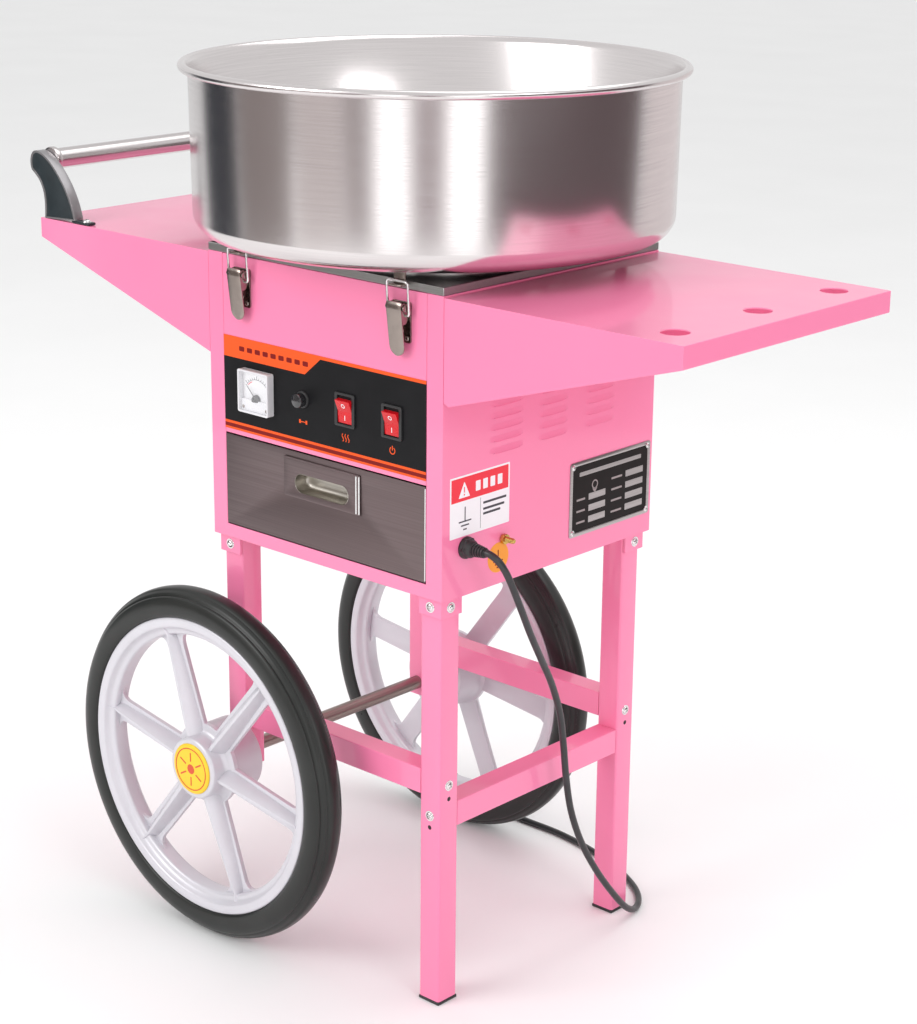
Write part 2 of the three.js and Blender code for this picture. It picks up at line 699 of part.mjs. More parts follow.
// A rocker switch body: a bezel on the panel and an open box behind it.
function switchHousing(x) {
  const { halfX, halfZ, depth, wall, room } = switchBox;
  const around = (half, high, y0, y1) => block(
    x - half, x + half, y0, y1, controlsZ - high, controlsZ + high,
  );
  return cut(
    join(
      around(bezel.halfX, bezel.halfZ, face - bezel.proud, face),
      around(halfX, halfZ, face - 1, face + depth),
    ),
    around(halfX - wall, halfZ - 1.2, face - bezel.proud - 1, face + room),
  );
}

// The rocker is a shallow V on a pivot behind the panel; at rest its lower half is pressed in.
const rocker = { pivotIn: 6, halfWidth: 10, lean: 12 };
function rockerBody(x) {
  const shape = polygon([[-7.4, 0], [-9, 12.6], [1, 12], [4, 4], [4, -4], [1, -12], [-9, -12.6]]);
  return plateYZ(shape, -rocker.halfWidth, rocker.halfWidth)
    .rotate([rocker.lean, 0, 0])
    .translate([x, face + rocker.pivotIn, controlsZ]);
}

for (const [name, x] of Object.entries(switches)) {
  add(`${name}_switch_housing`, switchHousing(x), black);
  add(`${name}_rocker`, rockerBody(x), red);
}

const wallX = cabinet.halfX + GAP;
const { radius: studRadius, hex, hexThick, proud: studProud } = earthStud;
add("earth_stud", join(
  bar("x", studRadius, cabinet.halfX - 12, cabinet.halfX + studProud, earthStud.y, earthStud.z, 10),
  bar("x", hex, wallX, wallX + hexThick, earthStud.y, earthStud.z, 6),
), brass);

// ---------------------------------------------------------------- supply cord

// The gland's nut sits on the wall, its nose tapers down to the cord as a strain relief.
const noseEnd = wallX + gland.length;
add("cable_gland", join(
  bar("x", gland.thread, cabinet.halfX - 12, wallX + 2, gland.y, gland.z, 16),
  bar("x", 11.5, wallX, wallX + 6, gland.y, gland.z, 16),
  bar("x", 9.5, wallX + 5, wallX + 11, gland.y, gland.z, 16, 7),
  bar("x", 6.8, wallX + 10, noseEnd, gland.y, gland.z, 16, 4.8),
), black);

// The cord leaves the nose, droops down the side, meets the floor beside the rear foot,
// and runs behind the rear wheel to the coil.
const floorZ = cord.radius + 0.1;
const coilFront = coil.y - coil.mean;
const route = [
  [noseEnd + GAP, -133, 508], [200.5, -133, 508], [207, -131, 504.5], [211.5, -126.5, 497],
  [213, -118, 483], [213, -100, 449], [209, -78, 412], [203, -53, 376], [196, -26, 338],
  [190, -4, 296], [186, 8, 256], [184, 16, 216], [183, 27, 172], [183, 46, 128],
  [184, 73, 84], [185, 104, 44], [184, 130, 17], [180, 149, 6.2],
  [172, 168, floorZ], [154, 189, floorZ], [124, 209, floorZ], [84, 227, floorZ], [36, 241, floorZ],
  [-16, 249, floorZ], [-66, 249, floorZ], [-114, coilFront, floorZ],
].map((p) => new THREE.Vector3(...p));
const runPath = new THREE.CatmullRomCurve3(route, false, "centripetal");
add("cord_run", swept(runPath, cord.radius, cord.sides, cord.steps), black);

// Two turns, one on the other.
const coilInner = coil.mean - cord.radius - coil.clear;
const coilOuter = coil.mean + cord.radius + coil.clear;
const coilTop = coil.turns * 2 * cord.radius + 0.5;
add("cord_coil", ring(
  [[coilInner, 0], [coilOuter, 0], [coilOuter, coilTop], [coilInner, coilTop]],
  24,
).translate([coil.x, coil.y, 0]), black);

// The cord's end leaves the upper turn and goes straight into the plug, which lies beside the coil.
const plug = { start: coil.x - 26, neck: 25, length: 64, pinEnd: 82, halfY: 17 };
const pin = { radius: 2.4, pitch: 19 };
const plugZ = 3 * cord.radius + 0.8;
const behind = (distance) => plug.start - distance;
let plugBody = join(
  bar("x", 6.6, behind(plug.neck), plug.start, coilFront, plugZ, 12, 4.8),
  block(behind(plug.length), behind(plug.neck - 1), coilFront - plug.halfY, coilFront + plug.halfY,
    0.2, 2 * plugZ - 0.2),
);
for (const y of [coilFront - pin.pitch / 2, coilFront + pin.pitch / 2]) {
  plugBody = plugBody.add(bar("x", pin.radius, behind(plug.pinEnd), behind(plug.length - 1), y, plugZ, 8));
}
add("plug", plugBody, black);

export default machine;
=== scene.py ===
"""Looks for a cotton candy machine on a two-wheeled cart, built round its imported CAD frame.

Sizes are millimetres from the cabinet's centre line: +X points to the cone shelf, -Y is the control side,
+Z is up and the floor is z = 0. ROW turns them into the frame's metres.
"""

import json
import math

import bmesh
import bpy
from mathutils import Matrix, Vector


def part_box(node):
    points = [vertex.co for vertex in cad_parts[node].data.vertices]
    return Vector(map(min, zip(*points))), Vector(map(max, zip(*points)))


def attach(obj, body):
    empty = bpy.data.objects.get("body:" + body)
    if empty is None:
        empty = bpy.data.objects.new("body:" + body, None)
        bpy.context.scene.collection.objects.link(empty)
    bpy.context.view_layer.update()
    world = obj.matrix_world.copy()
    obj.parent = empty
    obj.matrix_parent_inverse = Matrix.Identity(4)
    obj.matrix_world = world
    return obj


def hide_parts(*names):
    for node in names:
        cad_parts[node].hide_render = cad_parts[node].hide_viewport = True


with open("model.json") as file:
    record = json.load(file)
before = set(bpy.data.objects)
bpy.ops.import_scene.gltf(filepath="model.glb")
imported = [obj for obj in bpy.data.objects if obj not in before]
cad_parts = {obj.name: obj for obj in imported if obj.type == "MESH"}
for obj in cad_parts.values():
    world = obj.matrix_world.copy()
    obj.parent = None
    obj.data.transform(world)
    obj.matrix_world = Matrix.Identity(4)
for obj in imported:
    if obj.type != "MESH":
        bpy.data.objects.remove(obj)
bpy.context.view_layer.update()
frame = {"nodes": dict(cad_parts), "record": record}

# ---- frame

MM = 0.001
CENTRE_X = (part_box("cabinet_shell")[0].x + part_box("cabinet_shell")[1].x) / 2 / MM
ROW = Matrix.Scale(MM, 4) @ Matrix.Translation((CENTRE_X, 0, 0))


def span(node):
    """A CAD node's box as x0, x1, y0, y1, z0, z1 in millimetres from the cabinet's centre line."""
    low, high = (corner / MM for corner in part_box(node))
    return low.x - CENTRE_X, high.x - CENTRE_X, low.y, high.y, low.z, high.z


SHELL_X1, SHELL_Y0, SHELL_Y1 = span("cabinet_shell")[1:4]
WALL = 1.5  # steel sheet
FACE = SHELL_X1  # half the cabinet's width
DEPTH = SHELL_Y1  # half the cabinet's depth



def added(name, data):
    """A new object in the scene."""
    made = bpy.data.objects.new(name, data)
    bpy.context.scene.collection.objects.link(made)
    return made


def moved(x, y, z):
    return Matrix.Translation((x, y, z))


def rotated(degrees, axis):
    return Matrix.Rotation(math.radians(degrees), 4, axis)


# ---- camera

CAMERA_PLACE = (1642.0, -1764.5, 1229.9)
CAMERA_AIM = (37.9, 0.0, 486.9)

def make_camera():
    place, aim = Vector(CAMERA_PLACE), Vector(CAMERA_AIM)
    roll = math.radians(0.54)
    forward = (aim - place).normalized()
    level = forward.cross(Vector((0, 0, 1))).normalized()
    upright = level.cross(forward)
    right = math.cos(roll) * level + math.sin(roll) * upright
    up = math.cos(roll) * upright - math.sin(roll) * level
    turn = Matrix((right, up, -forward)).transposed().to_4x4()
    data = bpy.data.cameras.new("camera")
    data.lens = 81.16
    data.sensor_width = 36
    camera = added("camera", data)
    camera.matrix_world = Matrix.Translation(ROW @ place) @ turn
    bpy.context.scene.camera = camera


make_camera()

# ---- materials

class Finish:
    """A procedural material; its name is the record's slot, or starts with it and a dot."""

    def __init__(self, name, color, roughness, metallic=0.0, **sockets):
        self.material = bpy.data.materials.new(name)
        self.material.use_nodes = True
        self.slot = name.split(".")[0]
        self.tree = self.material.node_tree
        self.bsdf = self.tree.nodes["Principled BSDF"]
        self.color = color
        self.set("Base Color", (*color, 1))
        self.set("Roughness", roughness)
        self.set("Metallic", metallic)
        for socket, value in sockets.items():
            self.set(socket.replace("_", " "), value)
        self.place = self.add("ShaderNodeTexCoord").outputs["Object"]

    def set(self, socket, value):
        self.bsdf.inputs[socket].default_value = value

    def add(self, kind, **values):
        node = self.tree.nodes.new(kind)
        for key, value in values.items():
            setattr(node, key, value)
        return node

    def link(self, source, target):
        self.tree.links.new(source, target)

    def compute(self, operation, *values):
        """A math node's result; each value is a number or another node's output."""
        node = self.add("ShaderNodeMath", operation=operation)
        for socket, value in zip(node.inputs, values):
            if isinstance(value, (int, float)):
                socket.default_value = value
            else:
                self.link(value, socket)
        return node.outputs[0]

    def noise(self, scale, stretch=(1, 1, 1), detail=3.0, round_about=None):
        """Noise in the frame's own space, at so many cells a metre."""
        mapping = self.add("ShaderNodeMapping")
        mapping.inputs["Scale"].default_value = stretch
        self.link(self.round_place(round_about) if round_about is not None else self.place,
                  mapping.inputs["Vector"])
        texture = self.add("ShaderNodeTexNoise")
        texture.inputs["Scale"].default_value = scale
        texture.inputs["Detail"].default_value = detail
        self.link(mapping.outputs["Vector"], texture.inputs["Vector"])
        return texture.outputs["Fac"]

    def round_place(self, centre_x):
        """Place as turns round the vertical axis at centre_x, distance from it, and height."""
        parts = self.add("ShaderNodeSeparateXYZ")
        self.link(self.place, parts.inputs["Vector"])
        along = self.compute("SUBTRACT", parts.outputs["X"], centre_x)
        across = parts.outputs["Y"]
        squares = [self.compute("POWER", self.compute("ABSOLUTE", side), 2) for side in (along, across)]
        joined = self.add("ShaderNodeCombineXYZ")
        self.link(self.compute("ARCTAN2", across, along), joined.inputs["X"])
        self.link(self.compute("SQRT", self.compute("ADD", *squares)), joined.inputs["Y"])
        self.link(parts.outputs["Z"], joined.inputs["Z"])
        return joined.outputs["Vector"]

    def vary_color(self, other, source, low=0.2, high=0.8):
        """Shades the colour towards other where source is high."""
        ramp = self.add("ShaderNodeValToRGB")
        ramp.color_ramp.elements[0].position = low
        ramp.color_ramp.elements[1].position = high
        ramp.color_ramp.elements[0].color = (*self.color, 1)
        ramp.color_ramp.elements[1].color = (*other, 1)
        self.link(source, ramp.inputs["Fac"])
        self.link(ramp.outputs["Color"], self.bsdf.inputs["Base Color"])
        return self

    def vary_roughness(self, low, high, source):
        spread = self.add("ShaderNodeMapRange")
        spread.inputs["From Min"].default_value = 0.15
        spread.inputs["From Max"].default_value = 0.85
        spread.inputs["To Min"].default_value = low
        spread.inputs["To Max"].default_value = high
        self.link(source, spread.inputs["Value"])
        self.link(spread.outputs["Result"], self.bsdf.inputs["Roughness"])
        return self

    def bump(self, height_mm, source, strength=1.0):
        bump = self.add("ShaderNodeBump")
        bump.inputs["Strength"].default_value = strength
        bump.inputs["Distance"].default_value = height_mm * MM
        self.link(source, bump.inputs["Height"])
        self.link(bump.outputs["Normal"], self.bsdf.inputs["Normal"])
        return self


def grained(name, color, roughness, metallic=0.0, shade=0.85, cells=60, grain=900, depth=0.003, **sockets):
    """A finish with soft colour and gloss variation and a fine surface grain."""
    made = Finish(name, color, roughness, metallic, **sockets)
    made.vary_color(tuple(c * shade for c in color), made.noise(cells, detail=4))
    made.vary_roughness(roughness * 0.85, min(1.0, roughness * 1.2), made.noise(cells * 2.3))
    return made.bump(depth, made.noise(grain, detail=2))


def brushed(name, color, roughness, along, shade=0.8, depth=0.012, anisotropic=0.5, **sockets):
    """Steel brushed along one axis of the frame."""
    made = Finish(name, color, roughness, 1.0, Anisotropic=anisotropic, **sockets)
    stretch = tuple(4 if axis == along else 900 for axis in "xyz")
    made.vary_color(tuple(c * shade for c in color), made.noise(1, stretch, detail=5), 0.3, 0.75)
    made.vary_roughness(roughness * 0.8, roughness * 1.3, made.noise(1, stretch))
    return made.bump(depth, made.noise(1, stretch, detail=2))


def spun(name, color, roughness, anisotropic=0.6, shade=0.86):
    """Steel brushed round the machine's vertical axis."""
    made = Finish(name, color, roughness, 1.0, Anisotropic=anisotropic)
    centre = CENTRE_X * MM
    stretch = (3, 1400, 1400)
    made.vary_color(tuple(c * shade for c in color), made.noise(1, stretch, 5, centre), 0.25, 0.8)
    made.vary_roughness(roughness * 0.8, roughness * 1.25, made.noise(1, stretch, 3, centre))
    made.bump(0.006, made.noise(1, stretch, 2, centre))
    tangent = made.add("ShaderNodeTangent", direction_type="RADIAL", axis="Z")
    made.link(tangent.outputs["Tangent"], made.bsdf.inputs["Tangent"])
    return made


PINK = grained("pink_paint", (0.92, 0.222, 0.41), 0.38, shade=0.965, cells=7, grain=420, depth=0.005,
               Coat_Weight=0.65, Coat_Roughness=0.07)
BOWL_STEEL = spun("bowl_steel", (0.74, 0.70, 0.70), 0.19)
DRAWER_STEEL = brushed("drawer_steel", (0.20, 0.155, 0.157), 0.42, "x", shade=0.88, depth=0.006,
                       anisotropic=0.3)
TRIM_STEEL = brushed("trim_steel", (0.62, 0.60, 0.60), 0.28, "y")
PAN_STEEL = brushed("trim_steel.pan", (0.50, 0.51, 0.50), 0.3, "x")
LATCH_STEEL = grained("latch_steel", (0.36, 0.305, 0.275), 0.24, 1.0, shade=0.8, cells=90, depth=0.004)
AXLE_STEEL = brushed("latch_steel.axle", (0.36, 0.30, 0.27), 0.33, "y")
CHROME = grained("chrome", (0.8, 0.79, 0.79), 0.12, 1.0, shade=0.93, cells=120, depth=0.002)
HEAD_ALUMINIUM = spun("head_aluminium", (0.70, 0.70, 0.71), 0.3)
CAST_METAL = grained("cast_metal", (0.12, 0.13, 0.14), 0.55, 0.6, shade=0.75, cells=70, grain=380, depth=0.08)
WHEEL_SILVER = grained("wheel_silver", (0.66, 0.645, 0.69), 0.36, 0.25, shade=0.94, cells=25, depth=0.006,
                       Coat_Weight=0.25, Coat_Roughness=0.25)
TYRE_RUBBER = grained("tyre_rubber", (0.012, 0.013, 0.012), 0.3, shade=1.8, cells=18, grain=600, depth=0.02,
                      Specular_IOR_Level=0.38)
HUB_YELLOW = grained("hub_disc", (0.93, 0.6, 0.02), 0.35, shade=0.9, cells=80)
HUB_RED = grained("hub_disc.ring", (0.7, 0.08, 0.02), 0.35, cells=80)
BLACK_PLASTIC = grained("black_plastic", (0.018, 0.018, 0.019), 0.42, shade=1.6, cells=120, grain=1100,
                        depth=0.01)
BRACKET_BLACK = grained("bracket_black", (0.012, 0.018, 0.021), 0.38, shade=1.8, grain=800, depth=0.008)
CORD_RUBBER = grained("cord_rubber", (0.02, 0.02, 0.022), 0.34, shade=1.7, cells=90, depth=0.01)
ROCKER_RED = grained("rocker_red", (0.66, 0.003, 0.01), 0.28, cells=120, Coat_Weight=0.2,
                     Specular_IOR_Level=0.35)
PRINT_BLACK = grained("control_print", (0.006, 0.006, 0.007), 0.42, shade=1.5, cells=40, depth=0.004,
                      Specular_IOR_Level=0.16)
PRINT_ORANGE = grained("control_print.orange", (0.88, 0.095, 0.012), 0.42, shade=0.95, cells=40,
                       Specular_IOR_Level=0.2)
PRINT_WHITE = grained("control_print.white", (0.88, 0.87, 0.9), 0.4, shade=0.96)
PRINT_RED = grained("control_print.red", (0.86, 0.02, 0.045), 0.4, shade=0.94)
PRINT_MAROON = grained("control_print.maroon", (0.22, 0.006, 0.004), 0.42, shade=0.8, Specular_IOR_Level=0.2)
PRINT_AMBER = grained("control_print.amber", (0.93, 0.33, 0.02), 0.4, shade=0.92)
PRINT_GREY = grained("control_print.grey", (0.34, 0.29, 0.29), 0.42)
PRINT_GREY_DARK = grained("control_print.ink", (0.05, 0.045, 0.06), 0.45, shade=0.8)
PLATE_SILVER = brushed("chrome.plate", (0.55, 0.50, 0.50), 0.3, "y")
DIAL_WHITE = grained("dial_white", (0.84, 0.83, 0.85), 0.38, shade=0.95, depth=0.004)
WINDOW = Finish("window_clear", (0.93, 0.94, 0.96), 0.05, Alpha=0.10)
WINDOW.bump(0.004, WINDOW.noise(160))
FROSTED = grained("window_clear.frosted", (0.8, 0.79, 0.82), 0.45, shade=0.95, grain=500, depth=0.02)
BRASS = grained("earth_brass", (0.72, 0.47, 0.14), 0.24, 1.0, cells=150, depth=0.004)
PULL_STEEL = brushed("drawer_steel.cup", (0.50, 0.47, 0.42), 0.3, "x")
METER_CASE = grained("dial_white.case", (0.74, 0.73, 0.76), 0.22, shade=0.93, grain=700, depth=0.006,
                     Coat_Weight=0.4)
METER_DARK = grained("black_plastic.meter", (0.035, 0.034, 0.036), 0.35, shade=1.5, cells=90, depth=0.006)
FUSE_BLACK = grained("black_plastic.gloss", (0.016, 0.016, 0.018), 0.12, shade=1.6, cells=90, depth=0.004,
                     Coat_Weight=0.8, Coat_Roughness=0.05)
HANDLE_EDGE = grained("bracket_black.edge", (0.33, 0.32, 0.33), 0.3, 0.7, cells=70, depth=0.006)
HANDLE_STEEL = brushed("trim_steel.handle", (0.66, 0.62, 0.62), 0.2, "y")
# Darker pink for the slit under each louvre hood: painted shade where the slit opens into the cabinet.
LOUVRE_SLIT_SHADE = grained("pink_paint.slit", (0.6, 0.1, 0.24), 0.6, grain=500, depth=0.004)
RATING_BLACK = grained("control_print.rating", (0.01, 0.007, 0.007), 0.36, shade=1.5, cells=40, depth=0.004,
                       Specular_IOR_Level=0.14)
# A near-black disc for each empty screw hole: painted shade inside the hole.
HOLE_SHADE = grained("black_plastic.hole", (0.03, 0.012, 0.016), 0.7, shade=0.7, cells=90)

CAD_FINISH = {
    "pink_paint": PINK, "bowl_steel": BOWL_STEEL, "drawer_steel": DRAWER_STEEL, "trim_steel": TRIM_STEEL,
    "latch_steel": LATCH_STEEL, "chrome": CHROME, "head_aluminium": HEAD_ALUMINIUM, "cast_metal": CAST_METAL,
    "wheel_silver": WHEEL_SILVER, "tyre_rubber": TYRE_RUBBER, "hub_disc": HUB_YELLOW,
    "black_plastic": BLACK_PLASTIC, "bracket_black": BRACKET_BLACK, "cord_rubber": CORD_RUBBER,
    "rocker_red": ROCKER_RED, "control_print": PRINT_BLACK, "dial_white": DIAL_WHITE, "earth_brass": BRASS,
}


def finish_cad_nodes():
    """Gives every CAD node its slot's procedural finish; most are stood for by finer pieces further on."""
    for part in frame["record"]["subparts"]:
        node = frame["nodes"][part["node"]]
        made = CAD_FINISH[part["material_slot"]].material
        if not node.material_slots:
            node.data.materials.append(made)
        for slot in node.material_slots:
            slot.material = made


finish_cad_nodes()

# ---- shapes

def block(x0, x1, y0, y1, z0, z1):
    bm = bmesh.new()
    bmesh.ops.create_cube(bm, size=1)
    scale = Matrix.Diagonal((x1 - x0, y1 - y0, z1 - z0, 1))
    bm.transform(moved((x0 + x1) / 2, (y0 + y1) / 2, (z0 + z1) / 2) @ scale)
    return bm


def lathe(profile, segments=96, closed=False):
    """A profile of (radius, height) turned about the vertical axis; a closed profile makes a ring."""
    bm = bmesh.new()
    rings = []
    for radius, height in profile:
        count = 1 if radius < 1e-6 else segments
        turn = [2 * math.pi * k / segments for k in range(count)]
        rings.append([bm.verts.new((radius * math.cos(a), radius * math.sin(a), height)) for a in turn])
    for low, high in zip(rings, rings[1:] + (rings[:1] if closed else [])):
        for k in range(segments):
            after = (k + 1) % segments
            corners = [low[k % len(low)], low[after % len(low)], high[after % len(high)], high[k % len(high)]]
            corners = list(dict.fromkeys(corners))
            if len(corners) > 2:
                bm.faces.new(corners)
    return bm


def loft(bm, rings):
    """Faces between neighbouring rings of corners."""
    for near, far in zip(rings, rings[1:]):
        for k in range(len(near)):
            after = (k + 1) % len(near)
            bm.faces.new([near[k], near[after], far[after], far[k]])


def arc(centre, radius, start, end, steps=8):
    """Points round an arc, angles in degrees."""
    angles = [math.radians(start + (end - start) * k / steps) for k in range(steps + 1)]
    return [(centre[0] + radius * math.cos(a), centre[1] + radius * math.sin(a)) for a in angles]


def circle(u, v, radius, steps=32):
    return arc((u, v), radius, 0, 360 - 360 / steps, steps - 1)


def rectangle(u0, u1, v0, v1, corner=0.0, steps=5):
    if not corner:
        return [(u0, v0), (u1, v0), (u1, v1), (u0, v1)]
    return [
        *arc((u1 - corner, v0 + corner), corner, -90, 0, steps), *arc((u1 - corner, v1 - corner), corner, 0,
                                                                      90, steps),
        *arc((u0 + corner, v1 - corner), corner, 90, 180, steps), *arc((u0 + corner, v0 + corner), corner,
                                                                       180, 270, steps),
    ]


def rounded(points, radii, steps=6):
    """A polygon with each corner rounded by its own amount."""
    outline = []
    for i, (here, radius) in enumerate(zip(points, radii)):
        here = Vector(here)
        if not radius:
            outline.append(tuple(here))
            continue
        before = Vector(points[i - 1]) - here
        after = Vector(points[(i + 1) % len(points)]) - here
        start = here + before.normalized() * radius
        end = here + after.normalized() * radius
        for k in range(steps + 1):
            t = k / steps
            outline.append(tuple(start * (1 - t) ** 2 + here * 2 * t * (1 - t) + end * t ** 2))
    return outline


def drawn(name, lines, cyclic=False, **settings):
    """A curve with one straight-sided line through each list of points."""
    curve = bpy.data.curves.new(name, "CURVE")
    for setting, value in settings.items():
        setattr(curve, setting, value)
    for points in lines:
        spline = curve.splines.new("POLY")
        spline.points.add(len(points) - 1)
        for point, place in zip(spline.points, points):
            point.co = (*Vector(place).to_3d(), 1)
        spline.use_cyclic_u = cyclic
    return curve


def curve_shape(curve):
    """The solid that a curve makes; the curve itself goes."""
    holder = bpy.data.objects.new(curve.name, curve)
    mesh = bpy.data.meshes.new_from_object(holder)
    bm = bmesh.new()
    bm.from_mesh(mesh)
    bpy.data.objects.remove(holder)
    bpy.data.curves.remove(curve)
    bpy.data.meshes.remove(mesh)
    return bm


def plate(outlines, thick):
    """Closed outlines, the first one outside and the rest holes, as a flat plate from w = 0 to thick."""
    bm = curve_shape(drawn("outline", outlines, True, dimensions="2D", fill_mode="BOTH", extrude=thick / 2))
    bmesh.ops.remove_doubles(bm, verts=bm.verts, dist=1e-3)
    return placed(bm, moved(0, 0, thick / 2))


def wire(points, radius, sides=10):
    """A round bar along points."""
    return curve_shape(drawn("wire", [points], dimensions="3D", bevel_depth=radius,
                             bevel_resolution=max(0, sides // 2 - 2), use_fill_caps=True))


def placed(bm, matrix):
    bm.transform(matrix)
    return bm


def joined(*shapes):
    """Several shapes in one; the first one takes the rest in."""
    whole = shapes[0]
    for shape in shapes[1:]:
        mesh = bpy.data.meshes.new("joined")
        shape.to_mesh(mesh)
        shape.free()
        whole.from_mesh(mesh)
        bpy.data.meshes.remove(mesh)
    return whole


def copies(shape, matrices):
    """One shape set down at several places."""
    mesh = bpy.data.meshes.new("copies")
    shape.to_mesh(mesh)
    shape.free()
    whole = bmesh.new()
    for matrix in matrices:
        one = bmesh.new()
        one.from_mesh(mesh)
        one.transform(matrix)
        whole = joined(whole, one)
    bpy.data.meshes.remove(mesh)
    return whole


def bevelled(bm, width, segments=2, above=30):
    """Rounds the edges whose faces meet at more than so many degrees."""
    bmesh.ops.remove_doubles(bm, verts=bm.verts, dist=1e-4)
    bmesh.ops.recalc_face_normals(bm, faces=bm.faces)
    edges = [e for e in bm.edges if len(e.link_faces) == 2 and e.calc_face_angle() > math.radians(above)]
    bmesh.ops.bevel(bm, geom=edges, offset=width, segments=segments, profile=0.5, affect="EDGES",
                    clamp_overlap=True)
    return bm


def carved(bm, *cutters):
    """The shape with the cutters taken out of it."""
    def holder(shape, name):
        mesh = bpy.data.meshes.new(name)
        bmesh.ops.recalc_face_normals(shape, faces=shape.faces)
        shape.to_mesh(mesh)
        shape.free()
        return added(name, mesh)

    target = holder(bm, "target")
    tools = [holder(cutter, f"tool{i}") for i, cutter in enumerate(cutters)]
    for tool in tools:
        modifier = target.modifiers.new("cut", "BOOLEAN")
        modifier.operation = "DIFFERENCE"
        modifier.solver = "EXACT"
        modifier.object = tool
    graph = bpy.context.evaluated_depsgraph_get()
    mesh = bpy.data.meshes.new_from_object(target.evaluated_get(graph))
    result = bmesh.new()
    result.from_mesh(mesh)
    for made in [target, *tools]:
        bpy.data.meshes.remove(made.data)
    bpy.data.meshes.remove(mesh)
    return result


AXES = {
    "front": ((1, 0, 0), (0, 0, 1), (0, -1, 0)),
    "back": ((-1, 0, 0), (0, 0, 1), (0, 1, 0)),
    "right": ((0, 1, 0), (0, 0, 1), (1, 0, 0)),
    "left": ((0, -1, 0), (0, 0, 1), (-1, 0, 0)),
    "top": ((1, 0, 0), (0, 1, 0), (0, 0, 1)),
    "bottom": ((1, 0, 0), (0, -1, 0), (0, 0, -1)),
}


def on(side, place=(0, 0, 0), turn=0.0):
    """Stands a flat shape's u, v and w on one side of the machine, w pointing away from it, at a place."""
    axes = Matrix(AXES[side]).transposed().to_4x4()
    return Matrix.Translation(place) @ axes @ rotated(turn, "Z")


BEVEL_ABOVE = 32  # degrees between faces


def piece(name, bm, finish, body="cart", replaces=(), bevel=0.0, segments=2, smooth=35, row=ROW):
    """Turns a shape into a named piece that rides on a body."""
    mesh = bpy.data.meshes.new(name)
    bmesh.ops.remove_doubles(bm, verts=bm.verts, dist=1e-4 if row is ROW else 1e-7)
    bmesh.ops.recalc_face_normals(bm, faces=bm.faces)
    bm.to_mesh(mesh)
    bm.free()
    mesh.transform(row)
    mesh.materials.append(finish.material)
    mesh.shade_smooth()
    mesh.set_sharp_from_angle(angle=math.radians(smooth))
    made = added(name, mesh)
    if bevel:
        modifier = made.modifiers.new("edges", "BEVEL")
        modifier.width = bevel * MM
        modifier.segments = segments
        modifier.limit_method = "ANGLE"
        modifier.angle_limit = math.radians(BEVEL_ABOVE)
        shading = made.modifiers.new("flat_faces", "WEIGHTED_NORMAL")
        shading.mode = "FACE_AREA"
        shading.weight = 100
        shading.keep_sharp = True
    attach(made, body)
    if replaces:
        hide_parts(*([replaces] if isinstance(replaces, str) else replaces))
    return made


def node_shape(node):
    """The CAD node's own shape, in the frame's metres, with its facets joined."""
    bm = bmesh.new()
    bm.from_mesh(frame["nodes"][node].data)
    bmesh.ops.remove_doubles(bm, verts=bm.verts, dist=1e-6)
    bmesh.ops.dissolve_limit(bm, angle_limit=math.radians(1), verts=bm.verts, edges=bm.edges)
    return bm


def softened(node, finish, bevel=0.5, body="cart"):
    """The CAD node's own shape with its edges rounded, standing for it."""
    return piece(f"{node}_skin", node_shape(node), finish, body, node, bevel, row=Matrix.Identity(4))

# ---- fasteners

def pan_screw(radius, height):
    """A domed screw head with a cross recess, standing on w = 0."""
    dome = lathe([(0, height), (radius * 0.35, height * 0.97), (radius * 0.68, height * 0.78),
                  (radius * 0.92, height * 0.42), (radius, height * 0.12), (radius, 0), (0, 0)], 28)
    slot = radius * 0.16
    reach = radius * 0.6
    low = height * 0.35
    return carved(dome, block(-reach, reach, -slot, slot, low, height * 2),
                  block(-slot, slot, -reach, reach, low, height * 2))


def screws(name, radius, height, places, finish=CHROME, body="cart"):
    """Screws of one size; each place is a side, a point and a turn in degrees."""
    washer = lathe([(0, 0.35), (radius * 1.22, 0.35), (radius * 1.25, 0), (0, 0)], 28)
    head = joined(washer, placed(pan_screw(radius, height), moved(0, 0, 0.3)))
    return piece(name, copies(head, [on(*place) for place in places]), finish, body)

# ---- supply cord

GLAND_X, GLAND_Y, GLAND_Z = span("cable_gland")[1], -133, 508
PLUG_X0, PLUG_X1, PLUG_Y0, PLUG_Y1, PLUG_Z0, PLUG_Z1 = span("plug")
PLUG_Y = (PLUG_Y0 + PLUG_Y1) / 2
CORD = 3.75  # radius
LYING = CORD + 0.1
COIL = (-140.0, 288.0)
COIL_RADIUS = 40.0
COIL_STEP = 8.2  # one turn lies on the other


def smooth_line(points, steps=8):
    """A centripetal Catmull-Rom line through points."""
    points = [Vector(p) for p in points]
    points = [points[0] * 2 - points[1], *points, points[-1] * 2 - points[-2]]
    line = []
    for p0, p1, p2, p3 in zip(points, points[1:], points[2:], points[3:]):
        t0 = 0.0
        t1 = t0 + (p1 - p0).length ** 0.5
        t2 = t1 + (p2 - p1).length ** 0.5
        t3 = t2 + (p3 - p2).length ** 0.5
        for k in range(steps):
            t = t1 + (t2 - t1) * k / steps
            a1 = p0 * ((t1 - t) / (t1 - t0)) + p1 * ((t - t0) / (t1 - t0))
            a2 = p1 * ((t2 - t) / (t2 - t1)) + p2 * ((t - t1) / (t2 - t1))
            a3 = p2 * ((t3 - t) / (t3 - t2)) + p3 * ((t - t2) / (t3 - t2))
            b1 = a1 * ((t2 - t) / (t2 - t0)) + a2 * ((t - t0) / (t2 - t0))
            b2 = a2 * ((t3 - t) / (t3 - t1)) + a3 * ((t - t1) / (t3 - t1))
            line.append(b1 * ((t2 - t) / (t2 - t1)) + b2 * ((t - t1) / (t2 - t1)))
    return [*line, points[-2]]


